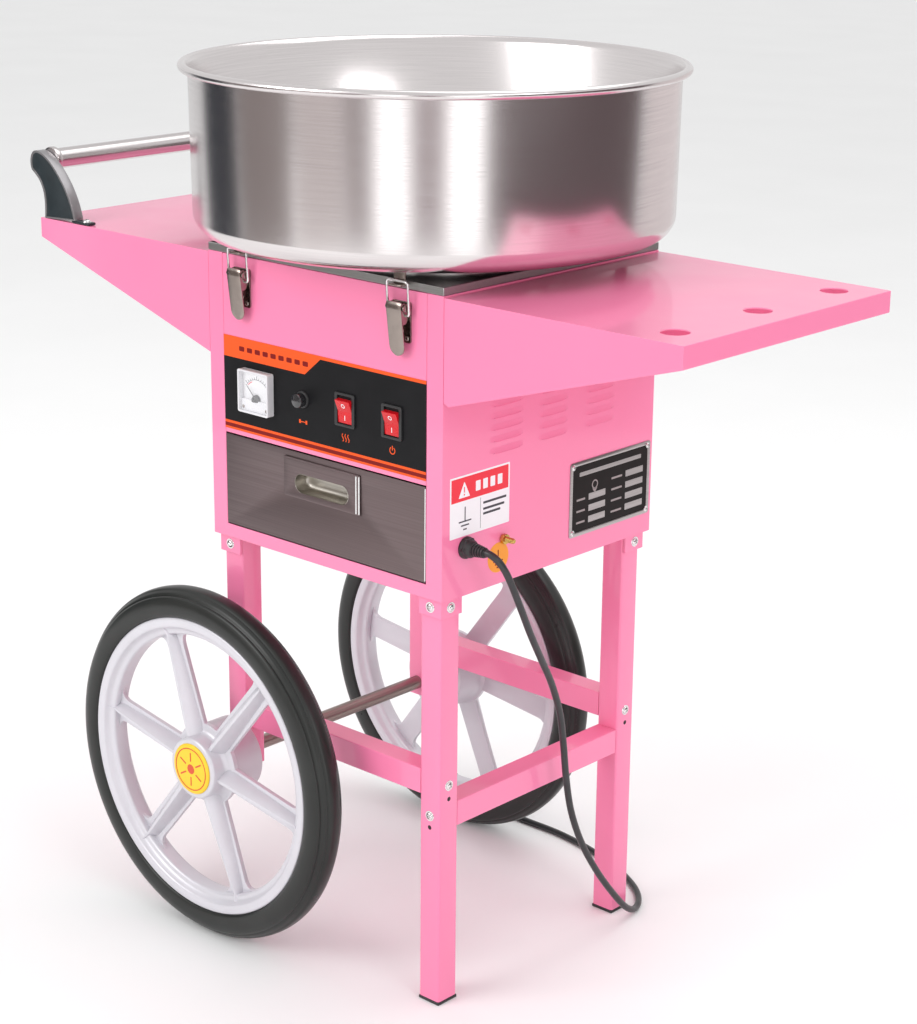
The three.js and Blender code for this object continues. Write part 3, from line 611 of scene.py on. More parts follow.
def cord_line():
    """Out of the gland, down the side, past the rear wheel, twice round the coil and into the plug."""
    run = [
        (GLAND_X - 6, GLAND_Y, GLAND_Z), (GLAND_X + 3, GLAND_Y, GLAND_Z), (207, -131, 504.5), (211.5, -126.5,
                                                                                               497), (213,
                                                                                                      -118,
                                                                                                      483),
        (213, -100, 449), (209, -78, 412), (203, -53, 376), (196, -26, 338), (190, -4, 296), (186, 8, 256),
        (184, 16, 216), (183, 27, 172), (183, 46, 128), (184, 73, 84), (185, 104, 44), (184, 130, 17),
        (180, 149, 6.2), (172, 168, LYING), (154, 189, LYING), (124, 209, LYING), (84, 227, LYING),
        (36, 241, LYING), (-16, 249, LYING), (-66, 249, LYING), (-114, 248, LYING),
    ]
    turns = []
    for k in range(49):
        turned = 15 * k
        along = min(1, max(0, (turned % 360 - 230) / 115))
        lift = turned // 360 + along * along * (3 - 2 * along)
        a = math.radians(-90 - turned)
        x, y = COIL[0] + COIL_RADIUS * math.cos(a), COIL[1] + COIL_RADIUS * math.sin(a)
        turns.append((x, y, LYING + COIL_STEP * lift))
    top = LYING + 2 * COIL_STEP
    middle = (PLUG_Z0 + PLUG_Z1) / 2
    tail = [(-150, PLUG_Y, top - 1), (-160, PLUG_Y, top - 5), (PLUG_X1 - 3, PLUG_Y, middle + 0.3),
            (PLUG_X1 - 12, PLUG_Y, middle)]
    return smooth_line(run) + smooth_line(turns, 3)[1:] + smooth_line(tail, 4)


def line_length(line):
    return sum((b - a).length for a, b in zip(line, line[1:]))


def make_plug():
    """A moulded two-pin plug with a ribbed neck, lying where its CAD solid does."""
    half = (PLUG_Y1 - PLUG_Y0) / 2
    rise = (PLUG_Z1 - PLUG_Z0) / 2
    long = [(0, half - 5), (6, half - 1.2), (14, half), (31, half - 1), (38, half - 5), (41, half - 8)]
    outline = [(u, v) for u, v in long] + [(u, -v) for u, v in reversed(long)]
    body = placed(plate([outline], 2 * rise), moved(0, 0, -rise))
    neck = [(0, -16)]
    for k in range(6):
        neck += [(8.2 - 0.55 * k, -16 + 5.6 * k), (8.2 - 0.55 * k, -12.6 + 5.6 * k), (6.6 - 0.45 * k,
                                                                                      -12.2 + 5.6 * k),
                 (6.6 - 0.45 * k, -10.6 + 5.6 * k)]
    neck += [(4.9, 17), (0, 17)]
    sleeve = placed(lathe(neck, 32), moved(48, 0, 0) @ rotated(90, "Y"))
    base = moved(PLUG_X0 + 18, PLUG_Y, (PLUG_Z0 + PLUG_Z1) / 2)
    shell = joined(bevelled(body, 3.2, 4), sleeve)
    housing = piece("plug_body", placed(shell, base), CORD_RUBBER, replaces="plug")
    pin = [(0, 0), (1.3, 0.1), (2.1, 0.9), (2.4, 2), (2.4, 20), (0, 20)]
    lying = rotated(90, "Y")
    pins = copies(lathe(pin, 20), [base @ moved(-18, v, 0) @ lying for v in (-9.5, 9.5)])
    return housing, piece("plug_pins", pins, CHROME)


def make_cord():
    line = cord_line()
    curve = drawn("supply_cord", [[ROW @ place for place in line]], dimensions="3D", bevel_depth=CORD * MM,
                  bevel_resolution=5)
    curve.materials.append(CORD_RUBBER.material)
    cord = added("supply_cord", curve)
    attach(cord, "cart")
    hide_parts("cord_run", "cord_coil")
    housing, pins = make_plug()
    print("cord length", line_length(line))


make_cord()

# ---- sheet metal

def tube(low, high, x, y, side, corner, wall):
    """An upright square tube, open at its ends."""
    outside = rectangle(-side / 2, side / 2, -side / 2, side / 2, corner)
    bore = side / 2 - wall
    inside = rectangle(-bore, bore, -bore, bore, max(0.5, corner - wall))
    return placed(plate([outside, inside], high - low), moved(x, y, low))


def make_right_shelf():
    """The shelf's own shape with the lower inner corner of each gusset clipped."""
    x0, z0, y1 = (span("right_shelf")[k] for k in (0, 4, 3))
    shelf = placed(node_shape("right_shelf"), ROW.inverted())
    clip = plate([[(x0 - 1, z0 - 1), (x0 + 12, z0 - 1), (x0 - 1, z0 + 5.6)]], 2 * DEPTH + 4)
    shelf = carved(shelf, placed(clip, on("front", (0, y1 + 2, 0))))
    bmesh.ops.dissolve_limit(shelf, angle_limit=math.radians(1), verts=shelf.verts, edges=shelf.edges)
    piece("right_shelf_skin", shelf, PINK, replaces="right_shelf", bevel=0.6)


def make_frame():
    softened("cabinet_shell", PINK, 0.7)
    softened("front_panel", PINK, 0.7)
    softened("back_cover", PINK, 0.5)
    softened("base_plate", PINK, 0.5)
    softened("top_plate", PAN_STEEL, 0.5)
    make_right_shelf()
    softened("left_shelf", PINK, 0.7)
    for end in ("left", "right"):
        for side in ("front", "back"):
            x0, x1, y0, y1, z0, z1 = span(f"leg_{end}_{side}")
            leg = tube(z0, z1, (x0 + x1) / 2, (y0 + y1) / 2, x1 - x0, 2.6, WALL)
            piece(f"leg_{end}_{side}_tube", leg, PINK, replaces=f"leg_{end}_{side}", smooth=50)
    for side in ("front", "back"):
        softened(f"foot_cap_{side}", BLACK_PLASTIC, 1.0)
    for name in ("front", "back", "right"):
        softened(f"rail_{name}", PINK, 1.6)


make_frame()
HANDLE_END = span("left_shelf")[0]
LEG_X = span("leg_right_front")[1]
LEG_Y = span("leg_right_front")[2]

# ---- wheels

WHEEL_X, WHEEL_Z, WHEEL_Y = -147.0, 202.0, 205.0
SPOKES = 6


def window(phase):
    """One rounded opening between two spokes, in the wheel's own plane."""
    def at(radius, degrees):
        a = math.radians(phase + degrees)
        return radius * math.cos(a), radius * math.sin(a)

    hub_corner, rim_corner = 18.5, 5.2  # degrees from the spoke's middle
    points = [at(45, hub_corner), at(149.5, rim_corner)]
    points += [at(149.5, 12.5 + 3.5 * k) for k in range(11)]
    points += [at(149.5, 60 - rim_corner), at(45, 60 - hub_corner), at(45, 30)]
    radii = [4, 15] + [0] * 11 + [15, 4, 0]
    return rounded(points, radii)


def spoke_ridge(phase):
    """The raised V along a spoke; it runs out to a point on the rim."""
    stations = [(33, 11.5, 17.5), (60, 11, 16.2), (110, 9.4, 13.2), (142, 8, 11.4), (149, 5.2, 10.4), (157,
                                                                                                       0.4,
                                                                                                       13.8)]
    bm = bmesh.new()
    rings = []
    for along, half, crest in stations:
        low = -1.0 if along < 150 else crest - 1.5
        across = [(-half, low), (-half, 2.6), (-half * 0.16, crest), (half * 0.16, crest), (half, 2.6),
                  (half, low)]
        if along > 150:
            across = [(-half, low), (-half, crest - 0.6), (-half * 0.3, crest), (half * 0.3, crest),
                      (half, crest - 0.6), (half, low)]
        rings.append([bm.verts.new((along, v, w)) for v, w in across])
    loft(bm, rings)
    bm.faces.new(rings[0])
    bm.faces.new(rings[-1])
    return placed(bm, rotated(phase, "Z"))


def make_wheel(side, name, phase):
    stand = moved(WHEEL_X, side * WHEEL_Y, WHEEL_Z) @ rotated(-90 * side, "X")
    body = f"wheel_{name}"
    half = [(169.9, 16.6), (169.2, 17.5), (167.8, 17.9), (160.6, 17.2), (159.2, 16.6), (158.4, 15.4), (156.8,
                                                                                                       12.2),
            (154.4, 10.6), (152.2, 10.2), (150.6, 9.6), (149.4, 8.2), (149, 6)]
    rim = lathe(half + [(r, -w) for r, w in reversed(half)], 192, closed=True)
    phases = [phase + 360 * k / SPOKES for k in range(SPOKES)]
    web = plate([circle(0, 0, 152, 120)] + [window(p) for p in phases], 5)
    web = bevelled(placed(web, moved(0, 0, -2.5)), 1.1, 3, 60)
    hub = lathe([
        (8.5, 22.6), (9, 23), (32.4, 23), (33.8, 22.5), (34.7, 21.4), (35, 20), (35.6, 9), (37, 5.4), (40,
                                                                                                       3.4),
        (47, 2.4), (47, -2.4), (44.6, -4.6), (43, -8), (42.8, -41.4), (42.2, -42.6), (41, -43), (33.4, -43),
        (32.2, -42.4), (31.6, -41), (31, -26), (29.6, -24.4), (14, -24), (13, -25), (12.6, -41), (11.8, -42),
        (8.5, -42),
    ], 72, closed=True)
    ridges = joined(*[spoke_ridge(p) for p in phases])
    casting = joined(rim, web, hub, ridges)
    piece(f"{body}_casting", placed(casting, stand), WHEEL_SILVER, body, body, smooth=38)

    crown = [(170.3, 16.8), (171.2, 18), (173.6, 19), (178, 19.7), (183, 19.7), (187.4, 19), (191, 17.7),
             (193.4, 16.3), (193.4, 15.5), (192.6, 15), (192.9, 14.4), (194.9, 14.2), (197.2, 12), (198.8,
                                                                                                    10),
             (198.4, 9.4), (198.7, 8.8), (200.2, 8.2), (201.4, 5.4), (202, 1.8)]
    tyre = lathe(crown + [(r, -w) for r, w in reversed(crown)], 192, closed=True)
    piece(f"tyre_{name}_rubber", placed(tyre, stand), TYRE_RUBBER, body, f"tyre_{name}", smooth=60)

    disc = lathe([(0, 25.3), (25.8, 25.3), (27.6, 25), (28.6, 24.4), (29, 23.6), (29, 23.3), (0, 23.3)], 96)
    piece(f"hub_disc_{name}", placed(disc, stand), HUB_YELLOW, body, f"hub_cap_{name}")
    ring = lathe([(23.4, 25.55), (24.6, 25.55), (24.6, 25.2), (23.4, 25.2)], 96, closed=True)
    dot = lathe([(0, 25.55), (5.4, 25.55), (5.8, 25.2), (0, 25.2)], 48)
    marks = copies(placed(plate([rectangle(9, 19.5, -0.9, 0.9, 0.5)], 0.3), moved(0, 0, 25.2)),
                   [rotated(30 + 60 * k, "Z") for k in range(6)])
    piece(f"hub_marks_{name}", placed(joined(ring, dot, marks), stand), HUB_RED, body)


make_wheel(-1, "front", -10)
make_wheel(1, "back", 7)


def make_axle():
    x0, x1, y0, y1, z0, z1 = span("axle")
    end = [(0, 0), (6.6, 0), (8, 1.4)]
    length = y1 - y0
    bar = lathe(end + [(8, length - 1.4), (6.6, length), (0, length)], 48)
    stand = moved((x0 + x1) / 2, y0, (z0 + z1) / 2) @ rotated(-90, "X")
    piece("axle_bar", placed(bar, stand), AXLE_STEEL, replaces="axle")


make_axle()

# ---- bowl and spinner head

BOWL_R = span("bowl")[1]
BOWL_Z0, BOWL_Z1 = 790.0, span("bowl")[5]
LATCH_X = 115.0


def make_bowl():
    bead = 4.5
    centre = (BOWL_R - bead, BOWL_Z1 - bead)
    rolled = arc(centre, bead, 150, -150, 20)
    floor_r, corner, wall = 228, 25, 1.6
    bend_out = arc((floor_r, BOWL_Z0 + corner), corner, -8, -90, 14)
    bend_in = arc((floor_r, BOWL_Z0 + corner), corner - wall, -90, -8, 14)
    profile = [(83.6, BOWL_Z0 + wall), (83.8, 811), (83, 812), (82, 811), (82, BOWL_Z0 + 2), (83, BOWL_Z0)]
    profile += list(reversed(bend_out)) + [(BOWL_R - 2 * bead - 1.2, BOWL_Z1 - bead - 3)]
    profile += list(reversed(rolled)) + [(BOWL_R - 2 * bead - 2.6, BOWL_Z1 - bead - 2)]
    profile += list(reversed(bend_in))
    shell = lathe(profile, 256, closed=True)
    seat_line = [(118, 771.1), (134, 771.1), (134, 773), (122.4, 773.1), (121, 774.4), (121, 790.6), (118,
                                                                                                      790.6)]
    seat = lathe(seat_line, 160, closed=True)
    piece("bowl_shell", joined(shell, seat), BOWL_STEEL, replaces="bowl", smooth=50)
    hooks = []
    for x in (-LATCH_X, LATCH_X):
        for turn in (0, 180):
            back = joined(block(-8, 8, -5.5, -4, 773, 789.6), block(-8, 8, -12, -4, 773, 775))
            facing = rotated(turn, "Z")
            hooks.append(placed(bevelled(back, 0.5, 2), facing @ moved(x, -DEPTH, 0)))
    piece("bowl_keepers", joined(*hooks), LATCH_STEEL)


make_bowl()


def make_head():
    """A slotted heating band between two spun aluminium plates, and the sugar cup in the lid."""
    radius = span("head_base")[1]
    z0, z1 = span("head_base")[4:]
    base = lathe([(0, z0), (radius - 4, z0), (radius - 1, z0 + 0.8), (radius, z0 + 2), (radius, z1), (0,
                                                                                                      z1)],
                                                                                                      128)
    piece("head_base_plate", base, HEAD_ALUMINIUM, "spinner_head", "head_base")
    low, high = span("head_band")[4:]
    slots = 90
    drum = lathe([(radius - 8, low), (radius - 3, low), (radius - 3, high), (radius - 8, high)], 90,
                 closed=True)
    rib = block(radius - 3.4, radius - 1, -0.75, 0.75, low, high)
    ribs = copies(rib, [Matrix.Rotation(2 * math.pi * k / slots, 4, "Z") for k in range(slots)])
    piece("head_band_ribs", joined(drum, ribs), CHROME, "spinner_head", "head_band")
    low, high = span("head_cap")[4:]
    cup = lathe([(22, low), (radius - 1, low), (radius, low + 1), (radius - 0.6, low + 2), (60, high - 3.2),
                 (47, high - 0.6), (44, high), (25, high), (23, high - 0.8), (22, high - 2)], 128,
                 closed=True)
    piece("head_lid", cup, HEAD_ALUMINIUM, "spinner_head", "head_cap")
    for turn in range(4):
        a = math.radians(45 + 90 * turn)
        screws(f"head_screw_{turn}", 3.4, 2, [("top", (36 * math.cos(a), 36 * math.sin(a), high - 0.1), 20)],
               CHROME, "spinner_head")
    shaft_low, shaft_high = span("motor_shaft")[4:]
    shaft = lathe([(0, shaft_low), (5, shaft_low), (6, shaft_low + 1), (6, 728), (14.4, 728), (15, 728.6),
                   (15, 735.5),
                   (13.6, 736), (13.6, 744), (15, 744.5), (15, 751.4), (14.4, 752), (6, 752), (6, shaft_high),
                   (0, shaft_high)], 48)
    piece("shaft_turned", shaft, AXLE_STEEL, "spinner_head", "motor_shaft")


make_head()


def make_drive():
    low, high = span("motor")[4:]
    fins = []
    for k in range(9):
        z = low + 16 + 9.5 * k
        fins += [(46.5, z), (50, z + 0.8), (50, z + 4.8), (46.5, z + 5.6)]
    can = lathe([(0, low), (19, low), (20, low + 1), (20, low + 8), (44, low + 8), (46.5, low + 10), *fins,
                 (46.5, high - 3), (44, high), (0, high)], 96)
    piece("motor_can", can, CAST_METAL, replaces="motor")
    softened("motor_mount", CAST_METAL, 0.6)


make_drive()

# ---- drawer

FRONT_Y = -DEPTH
SLOT_Z, SLOT_HALF, SLOT_R = 541.0, 39.0, 10.0


def slot_outline(half, radius, steps=12):
    run = half - radius
    return arc((run, 0), radius, -90, 90, steps) + arc((-run, 0), radius, 90, 270, steps)


def make_drawer():
    x0, x1, y0, y1, z0, z1 = span("drawer")
    hole = [(u, v + SLOT_Z) for u, v in slot_outline(SLOT_HALF + 2.5, SLOT_R + 2.5)]
    face = placed(plate([rectangle(x0 + 0.3, x1 - 0.3, z0 + 0.3, z1 - 0.3, 0.8), hole], 1.4),
                  on("front", (0, FRONT_Y + 1.4, 0)))
    tray_x, low, high, wall = 138, z0 + 5, z1 - 14, 1.2
    tray = joined(
        block(-tray_x, tray_x, FRONT_Y + 1.4, y1, low, low + wall),
        block(-tray_x, -tray_x + wall, FRONT_Y + 1.4, y1, low, high),
        block(tray_x - wall, tray_x, FRONT_Y + 1.4, y1, low, high),
        block(-tray_x, tray_x, y1 - wall, y1, low, high),
        block(-tray_x, -tray_x + 7, FRONT_Y + 1.5, y1, high - 1.2, high),
        block(tray_x - 7, tray_x, FRONT_Y + 1.5, y1, high - 1.2, high),
    )
    piece("drawer_front", bevelled(face, 0.35, 2), DRAWER_STEEL, "drawer", "drawer")
    piece("drawer_tray", tray, TRIM_STEEL, "drawer")
    # A folded edge at the right end of the face, in chrome brighter than the face's steel: the fold is real,
    # its brightness a painted highlight.
    edge = wire([(x1 - 0.7, FRONT_Y + 0.1, z0 + 2), (x1 - 0.7, FRONT_Y + 0.1, z1 - 2)], 0.75, 12)
    piece("drawer_fold_highlight", edge, CHROME, "drawer")


def make_pull():
    """A pressed plate round a finger cup, its right end turned up in a fold drawn in bright chrome as a
    painted highlight.
    """
    x0, x1, y0, y1, z0, z1 = span("drawer_pull")
    back = FRONT_Y - 0.3
    hole = [(u, v + SLOT_Z) for u, v in slot_outline(SLOT_HALF + 0.4, SLOT_R + 0.4, 20)]
    flat = placed(plate([rectangle(x0, x1, z0, z1, 1.4), hole], 1.1), on("front", (0, back, 0)))
    rim = slot_outline(SLOT_HALF, SLOT_R, 20)
    sections = [(1.05, 1.1), (1.02, 1.5), (1.0, 1.1), (0.985, 0), (0.97, -8), (0.93, -13), (0.80, -15.2),
                (0.3, -15.4)]
    bm = bmesh.new()
    rings = []
    for size, out in sections:
        ring = [((abs(u) - SLOT_HALF + SLOT_R * size + SLOT_HALF - SLOT_R) * (1 if u > 0 else -1)
                 if abs(u) > SLOT_HALF - SLOT_R else u, v * size) for u, v in rim]
        rings.append([bm.verts.new((u, v, out)) for u, v in ring])
    loft(bm, rings)
    bm.faces.new(rings[-1])
    cup = placed(bm, on("front", (0, back, SLOT_Z)))
    piece("pull_plate", bevelled(flat, 0.4, 2), DRAWER_STEEL, "drawer", "drawer_pull")
    piece("pull_cup", cup, PULL_STEEL, "drawer", smooth=60)
    highlit_folds = [wire([(x, back - 1.0, z0 + 1.5), (x, back - 1.0, z1 - 1.5)], 0.95, 12) for x in (x1 - 1.2,
                                                                                              x1 - 5.4)]
    lip = wire([(x0 + 2, back - 0.9, z1 - 1), (x1 - 2, back - 0.9, z1 - 1)], 0.55, 10)
    # The folds are real; their bright chrome against the plate's darker steel is a painted highlight.
    piece("pull_folds_highlight", joined(*highlit_folds), CHROME, "drawer")
    piece("pull_lip", lip, DRAWER_STEEL, "drawer")


make_drawer()
make_pull()

# ---- control panel

FILM = FRONT_Y - 0.3  # the printed film's front
FILM_HALF, FILM_Z0, FILM_Z1 = 147, 580, 682
CONTROLS_Z = 632.0
FUSE_X = -27.0
SWITCH_X = {"heat": 35.0, "power": 101.0}


def print_on(name, outlines, finish, level, side="front", at=(0, 0, 0), body="cart", turn=0.0):
    """Flat printing a little proud of what it is on; each level lies over the one below."""
    thick = 0.05
    flats = []
    for outline in outlines:
        rings = outline if isinstance(outline[0][0], tuple) else [outline]
        flats.append(plate(rings, thick))
    whole = placed(joined(*flats), moved(0, 0, thick * level))
    return piece(name, placed(whole, on(side, at, turn)), finish, body)


def hoop(u, v, radius, thick, start=0.0, end=360.0, steps=32):
    """A ring, or a part of one, as one outline."""
    if end - start >= 360:
        return [circle(u, v, radius, steps), circle(u, v, radius - thick, steps)]
    outer = arc((u, v), radius, start, end, steps)
    inner = arc((u, v), radius - thick, end, start, steps)
    return outer + inner


def stroke(u0, v0, u1, v1, thick):
    along = (Vector((u1, v1)) - Vector((u0, v0))).normalized() * thick / 2
    u, v = -along.y, along.x
    return [(u0 - u, v0 - v), (u1 - u, v1 - v), (u1 + u, v1 + v), (u0 + u, v0 + v)]


def earth_symbol(u, v, size, thick):
    bars = [stroke(u, v + size, u, v, thick)]
    for k, half in enumerate((0.62, 0.4, 0.18)):
        bars.append(stroke(u - half * size, v - k * size * 0.28, u + half * size, v - k * size * 0.28, thick))
    return bars


def make_film():
    film = plate([rectangle(-FILM_HALF, FILM_HALF, FILM_Z0, FILM_Z1)], 0.2)
    piece("control_film", placed(film, on("front", (0, FILM + 0.21, 0))), PRINT_BLACK)
    place = (0, FILM, 0)
    header = [(-FILM_HALF, FILM_Z1), (-FILM_HALF, 659), (-24, 659), (-1, 678.4), (FILM_HALF, 678.4),
              (FILM_HALF, FILM_Z1)]
    print_on("film_header", [header], PRINT_ORANGE, 0, at=place)
    lines = [rectangle(-FILM_HALF, FILM_HALF, low, high) for low, high in ((586.4, 589.2), (FILM_Z0, 582.4))]
    print_on("film_lines", lines, PRINT_ORANGE, 0, at=place)
    print_on("film_dark_line", [rectangle(-FILM_HALF, FILM_HALF, 582.4, 586.4)], PRINT_MAROON, 0, at=place)
    # A row of plain dashes in place of words.
    dashes = [rectangle(-123 + 12 * k, -115 + 12 * k, 667.4, 672.6, 1.2, 3) for k in range(9)]
    print_on("film_dashes", dashes, PRINT_MAROON, 1, at=place)
    fuse = [rectangle(FUSE_X - 6, FUSE_X - 3.4, 606, 610, 0.6, 3), rectangle(FUSE_X + 3.4, FUSE_X + 6, 606,
                                                                             610, 0.6, 3),
             stroke(FUSE_X - 3.6, 608, FUSE_X + 3.6, 608, 0.9)]
    heat = []
    for k in (-1, 0, 1):
        x = SWITCH_X["heat"] + 4 * k
        wave = [(x + 1.1 * math.sin(t * math.pi / 4), 598.6 + t) for t in range(9)]
        heat += [stroke(*a, *b, 1.0) for a, b in zip(wave, wave[1:])]
    x = SWITCH_X["power"]
    power = [hoop(x, 602.4, 4, 1.0, 120, 420), stroke(x, 602.6, x, 607.4, 1.1)]
    print_on("film_symbols", fuse + heat + power, PRINT_ORANGE, 1, at=place)


def make_meter():
    x0, x1, y0, y1, z0, z1 = span("meter_housing")
    x, z, half = (x0 + x1) / 2, (z0 + z1) / 2, (x1 - x0) / 2
    proud = FILM - y0
    frame_shape = plate([rectangle(-half, half, -half, half, 2.2), rectangle(-half + 2, half - 2, -half + 2,
                                                                             half - 2, 1)],
                        proud - 2.4)
    back = plate([rectangle(-half, half, -half, half, 2.2)], 2.4)
    rim = placed(frame_shape, moved(0, 0, 2.4))
    rear = lathe([(0, 0), (17, 0), (18, -1), (18, -31), (17, -32), (0, -32)], 64)
    at = (x, FILM, z)
    case = placed(joined(bevelled(back, 0.5, 2), bevelled(rim, 0.6, 3)), on("front", at))
    piece("meter_case", joined(case, placed(rear, on("front", at))), METER_CASE, replaces="meter_housing")
    inner = half - 2.1
    dial_at = (x, FILM - 2.5, z)
    print_on("meter_dial", [rectangle(-inner, inner, -inner, inner)], DIAL_WHITE, 0, at=dial_at)
    pivot = -7.0
    ticks = [hoop(0, pivot, 20.4, 0.5, 42, 138, 40)]
    for k in range(11):
        a = math.radians(45 + 9 * k)
        reach = 24.2 if k % 5 == 0 else 22.6
        ticks.append(stroke(20.2 * math.cos(a), pivot + 20.2 * math.sin(a), reach * math.cos(a),
                            pivot + reach * math.sin(a), 0.6))
    print_on("meter_scale", ticks, PRINT_GREY_DARK, 1, at=dial_at)
    print_on("meter_red_arc", [hoop(0, pivot, 18.9, 0.9, 112, 136, 16)], PRINT_RED, 1, at=dial_at)
    cover = placed(plate([rectangle(-inner, inner, -inner, -8.8, 0.8)], 3.2), moved(0, 0, 0.05))
    piece("meter_cover", placed(bevelled(cover, 0.7, 3), on("front", dial_at)), FROSTED)
    dome = lathe([(0, 5.2), (2.6, 4.9), (4.6, 3.9), (5.6, 2.3), (5.8, 0.1), (0, 0.1)], 40)
    boss = carved(placed(dome, moved(0, pivot - 1.6, 0)), block(-8, 8, -30, pivot - 3.2, -1, 9))
    piece("meter_boss", placed(boss, on("front", dial_at)), METER_DARK, smooth=45)
    corner = inner - 3.4
    screws("meter_screws", 1.5, 0.8, [("front", (x + u, FILM - 5.7, z - corner), 30) for u in (-corner,
                                                                                               corner)],
           LATCH_STEEL)
    window = placed(plate([rectangle(-half + 0.8, half - 0.8, -half + 0.8, half - 0.8, 1.6)], 0.9),
                    moved(0, 0, proud - 0.95))
    piece("meter_window", placed(bevelled(window, 0.3, 2), on("front", at)), WINDOW)
    blade = plate([[(-0.62, -3.5), (0.62, -3.5), (0.2, 19.6), (-0.2, 19.6)]], 0.35)
    hub = lathe([(0, 0.9), (1.6, 0.7), (2.1, 0), (0, 0)], 24)
    needle = placed(joined(blade, hub), on("front", (x, FILM - 4.9, z + pivot), 45))
    piece("meter_pointer", needle, METER_DARK, "meter_needle", "meter_needle")




def make_fuse():
    collar = lathe([(0, 0), (9, 0), (9, 1.5), (8.6, 2.2), (7.9, 2.5), (0, 2.5)], 56)
    rear = lathe([(0, 0), (6, 0), (6, -29), (5, -30), (0, -30)], 40)
    at = (FUSE_X, FILM, CONTROLS_Z)
    piece("fuse_collar", placed(joined(collar, rear), on("front", at)), BLACK_PLASTIC, replaces="fuse_holder")
    cap = lathe([(0, 2.8), (7.2, 2.8), (7.5, 3.2), (7.5, 8.6), (7.1, 9.6), (6.2, 10), (0, 10)], 56)
    notch = [rotated(20 * k, "Z") @ moved(7.7, 0, 0) for k in range(18)]
    flutes = copies(lathe([(0, 3.4), (0.55, 3.4), (0.55, 12), (0, 12)], 10), notch)
    cap = carved(cap, flutes)
    grip = bevelled(block(-5, 5, -0.9, 0.9, 9.6, 11.2), 0.45, 3)
    piece("fuse_knob", placed(joined(cap, grip), on("front", at)), FUSE_BLACK, "fuse_cap", "fuse_cap",
          smooth=30)




def make_switch(name):
    x = SWITCH_X[name]
    at = (x, FILM, CONTROLS_Z)
    hole = rectangle(-10.4, 10.4, -15, 15, 0.8)
    bezel = bevelled(plate([rectangle(-14, 14, -17.5, 17.5, 1.8), hole], 2), 0.55, 3)
    box = placed(plate([rectangle(-11.7, 11.7, -16.2, 16.2), hole], 16), moved(0, 0, -16))
    closed = placed(plate([rectangle(-11.7, 11.7, -16.2, 16.2)], 8), moved(0, 0, -24))
    piece(f"{name}_bezel", placed(joined(bezel, box, closed), on("front", at)), BLACK_PLASTIC,
          replaces=f"{name}_switch_housing")
    # The rocker's side outline, w outwards from its pivot: two faces that meet in a soft valley.
    side = [(-12.6, 9), (-12.3, 9.5), (-6, 8.5), (0, 7.5), (6, 8.5), (12.3, 9.5), (12.6, 9), (12, -1), (4,
                                                                                                        -4),
                                                                                                        (-4,
                                                                                                         -4),
            (-12, -1)]
    rocker = placed(plate([side], 20), moved(0, 0, -10))
    rocker = placed(rocker, Matrix(((0, 0, 1, 0), (1, 0, 0, 0), (0, 1, 0, 0), (0, 0, 0, 1))))
    rocker = bevelled(rocker, 0.7, 4, 12)
    pivot = (x, FILM + 6, CONTROLS_Z)
    lean = rotated(12, "X")
    piece(f"{name}_paddle", placed(rocker, on("front", pivot) @ lean), ROCKER_RED, f"{name}_rocker",
          f"{name}_rocker", smooth=50)
    level = 0.12
    marks = []
    tilt = math.degrees(math.atan2(2, 12.3))
    for mark, v, sign in ((hoop(0, 0, 2.5, 0.8), 6.6, 1), (rectangle(-0.42, 0.42, -2.6, 2.6), -6.6, -1)):
        rings = mark if isinstance(mark[0][0], tuple) else [mark]
        flat = placed(plate(rings, 0.1), rotated(tilt * sign, "X"))
        marks.append(placed(flat, moved(0, v, 7.5 + abs(v) * 2 / 12.3 + level - 0.07)))
    piece(f"{name}_marks", placed(joined(*marks), on("front", pivot) @ lean), PRINT_WHITE, f"{name}_rocker")


make_film()
make_meter()
make_fuse()
make_switch("heat")
make_switch("power")

# ---- latches

def edgewise(x):
    """Stands a flat shape in the plane across the machine at x, as built for the control side."""
    return Matrix(((0, 0, 1, x), (-1, 0, 0, 0), (0, 1, 0, 0), (0, 0, 0, 1)))


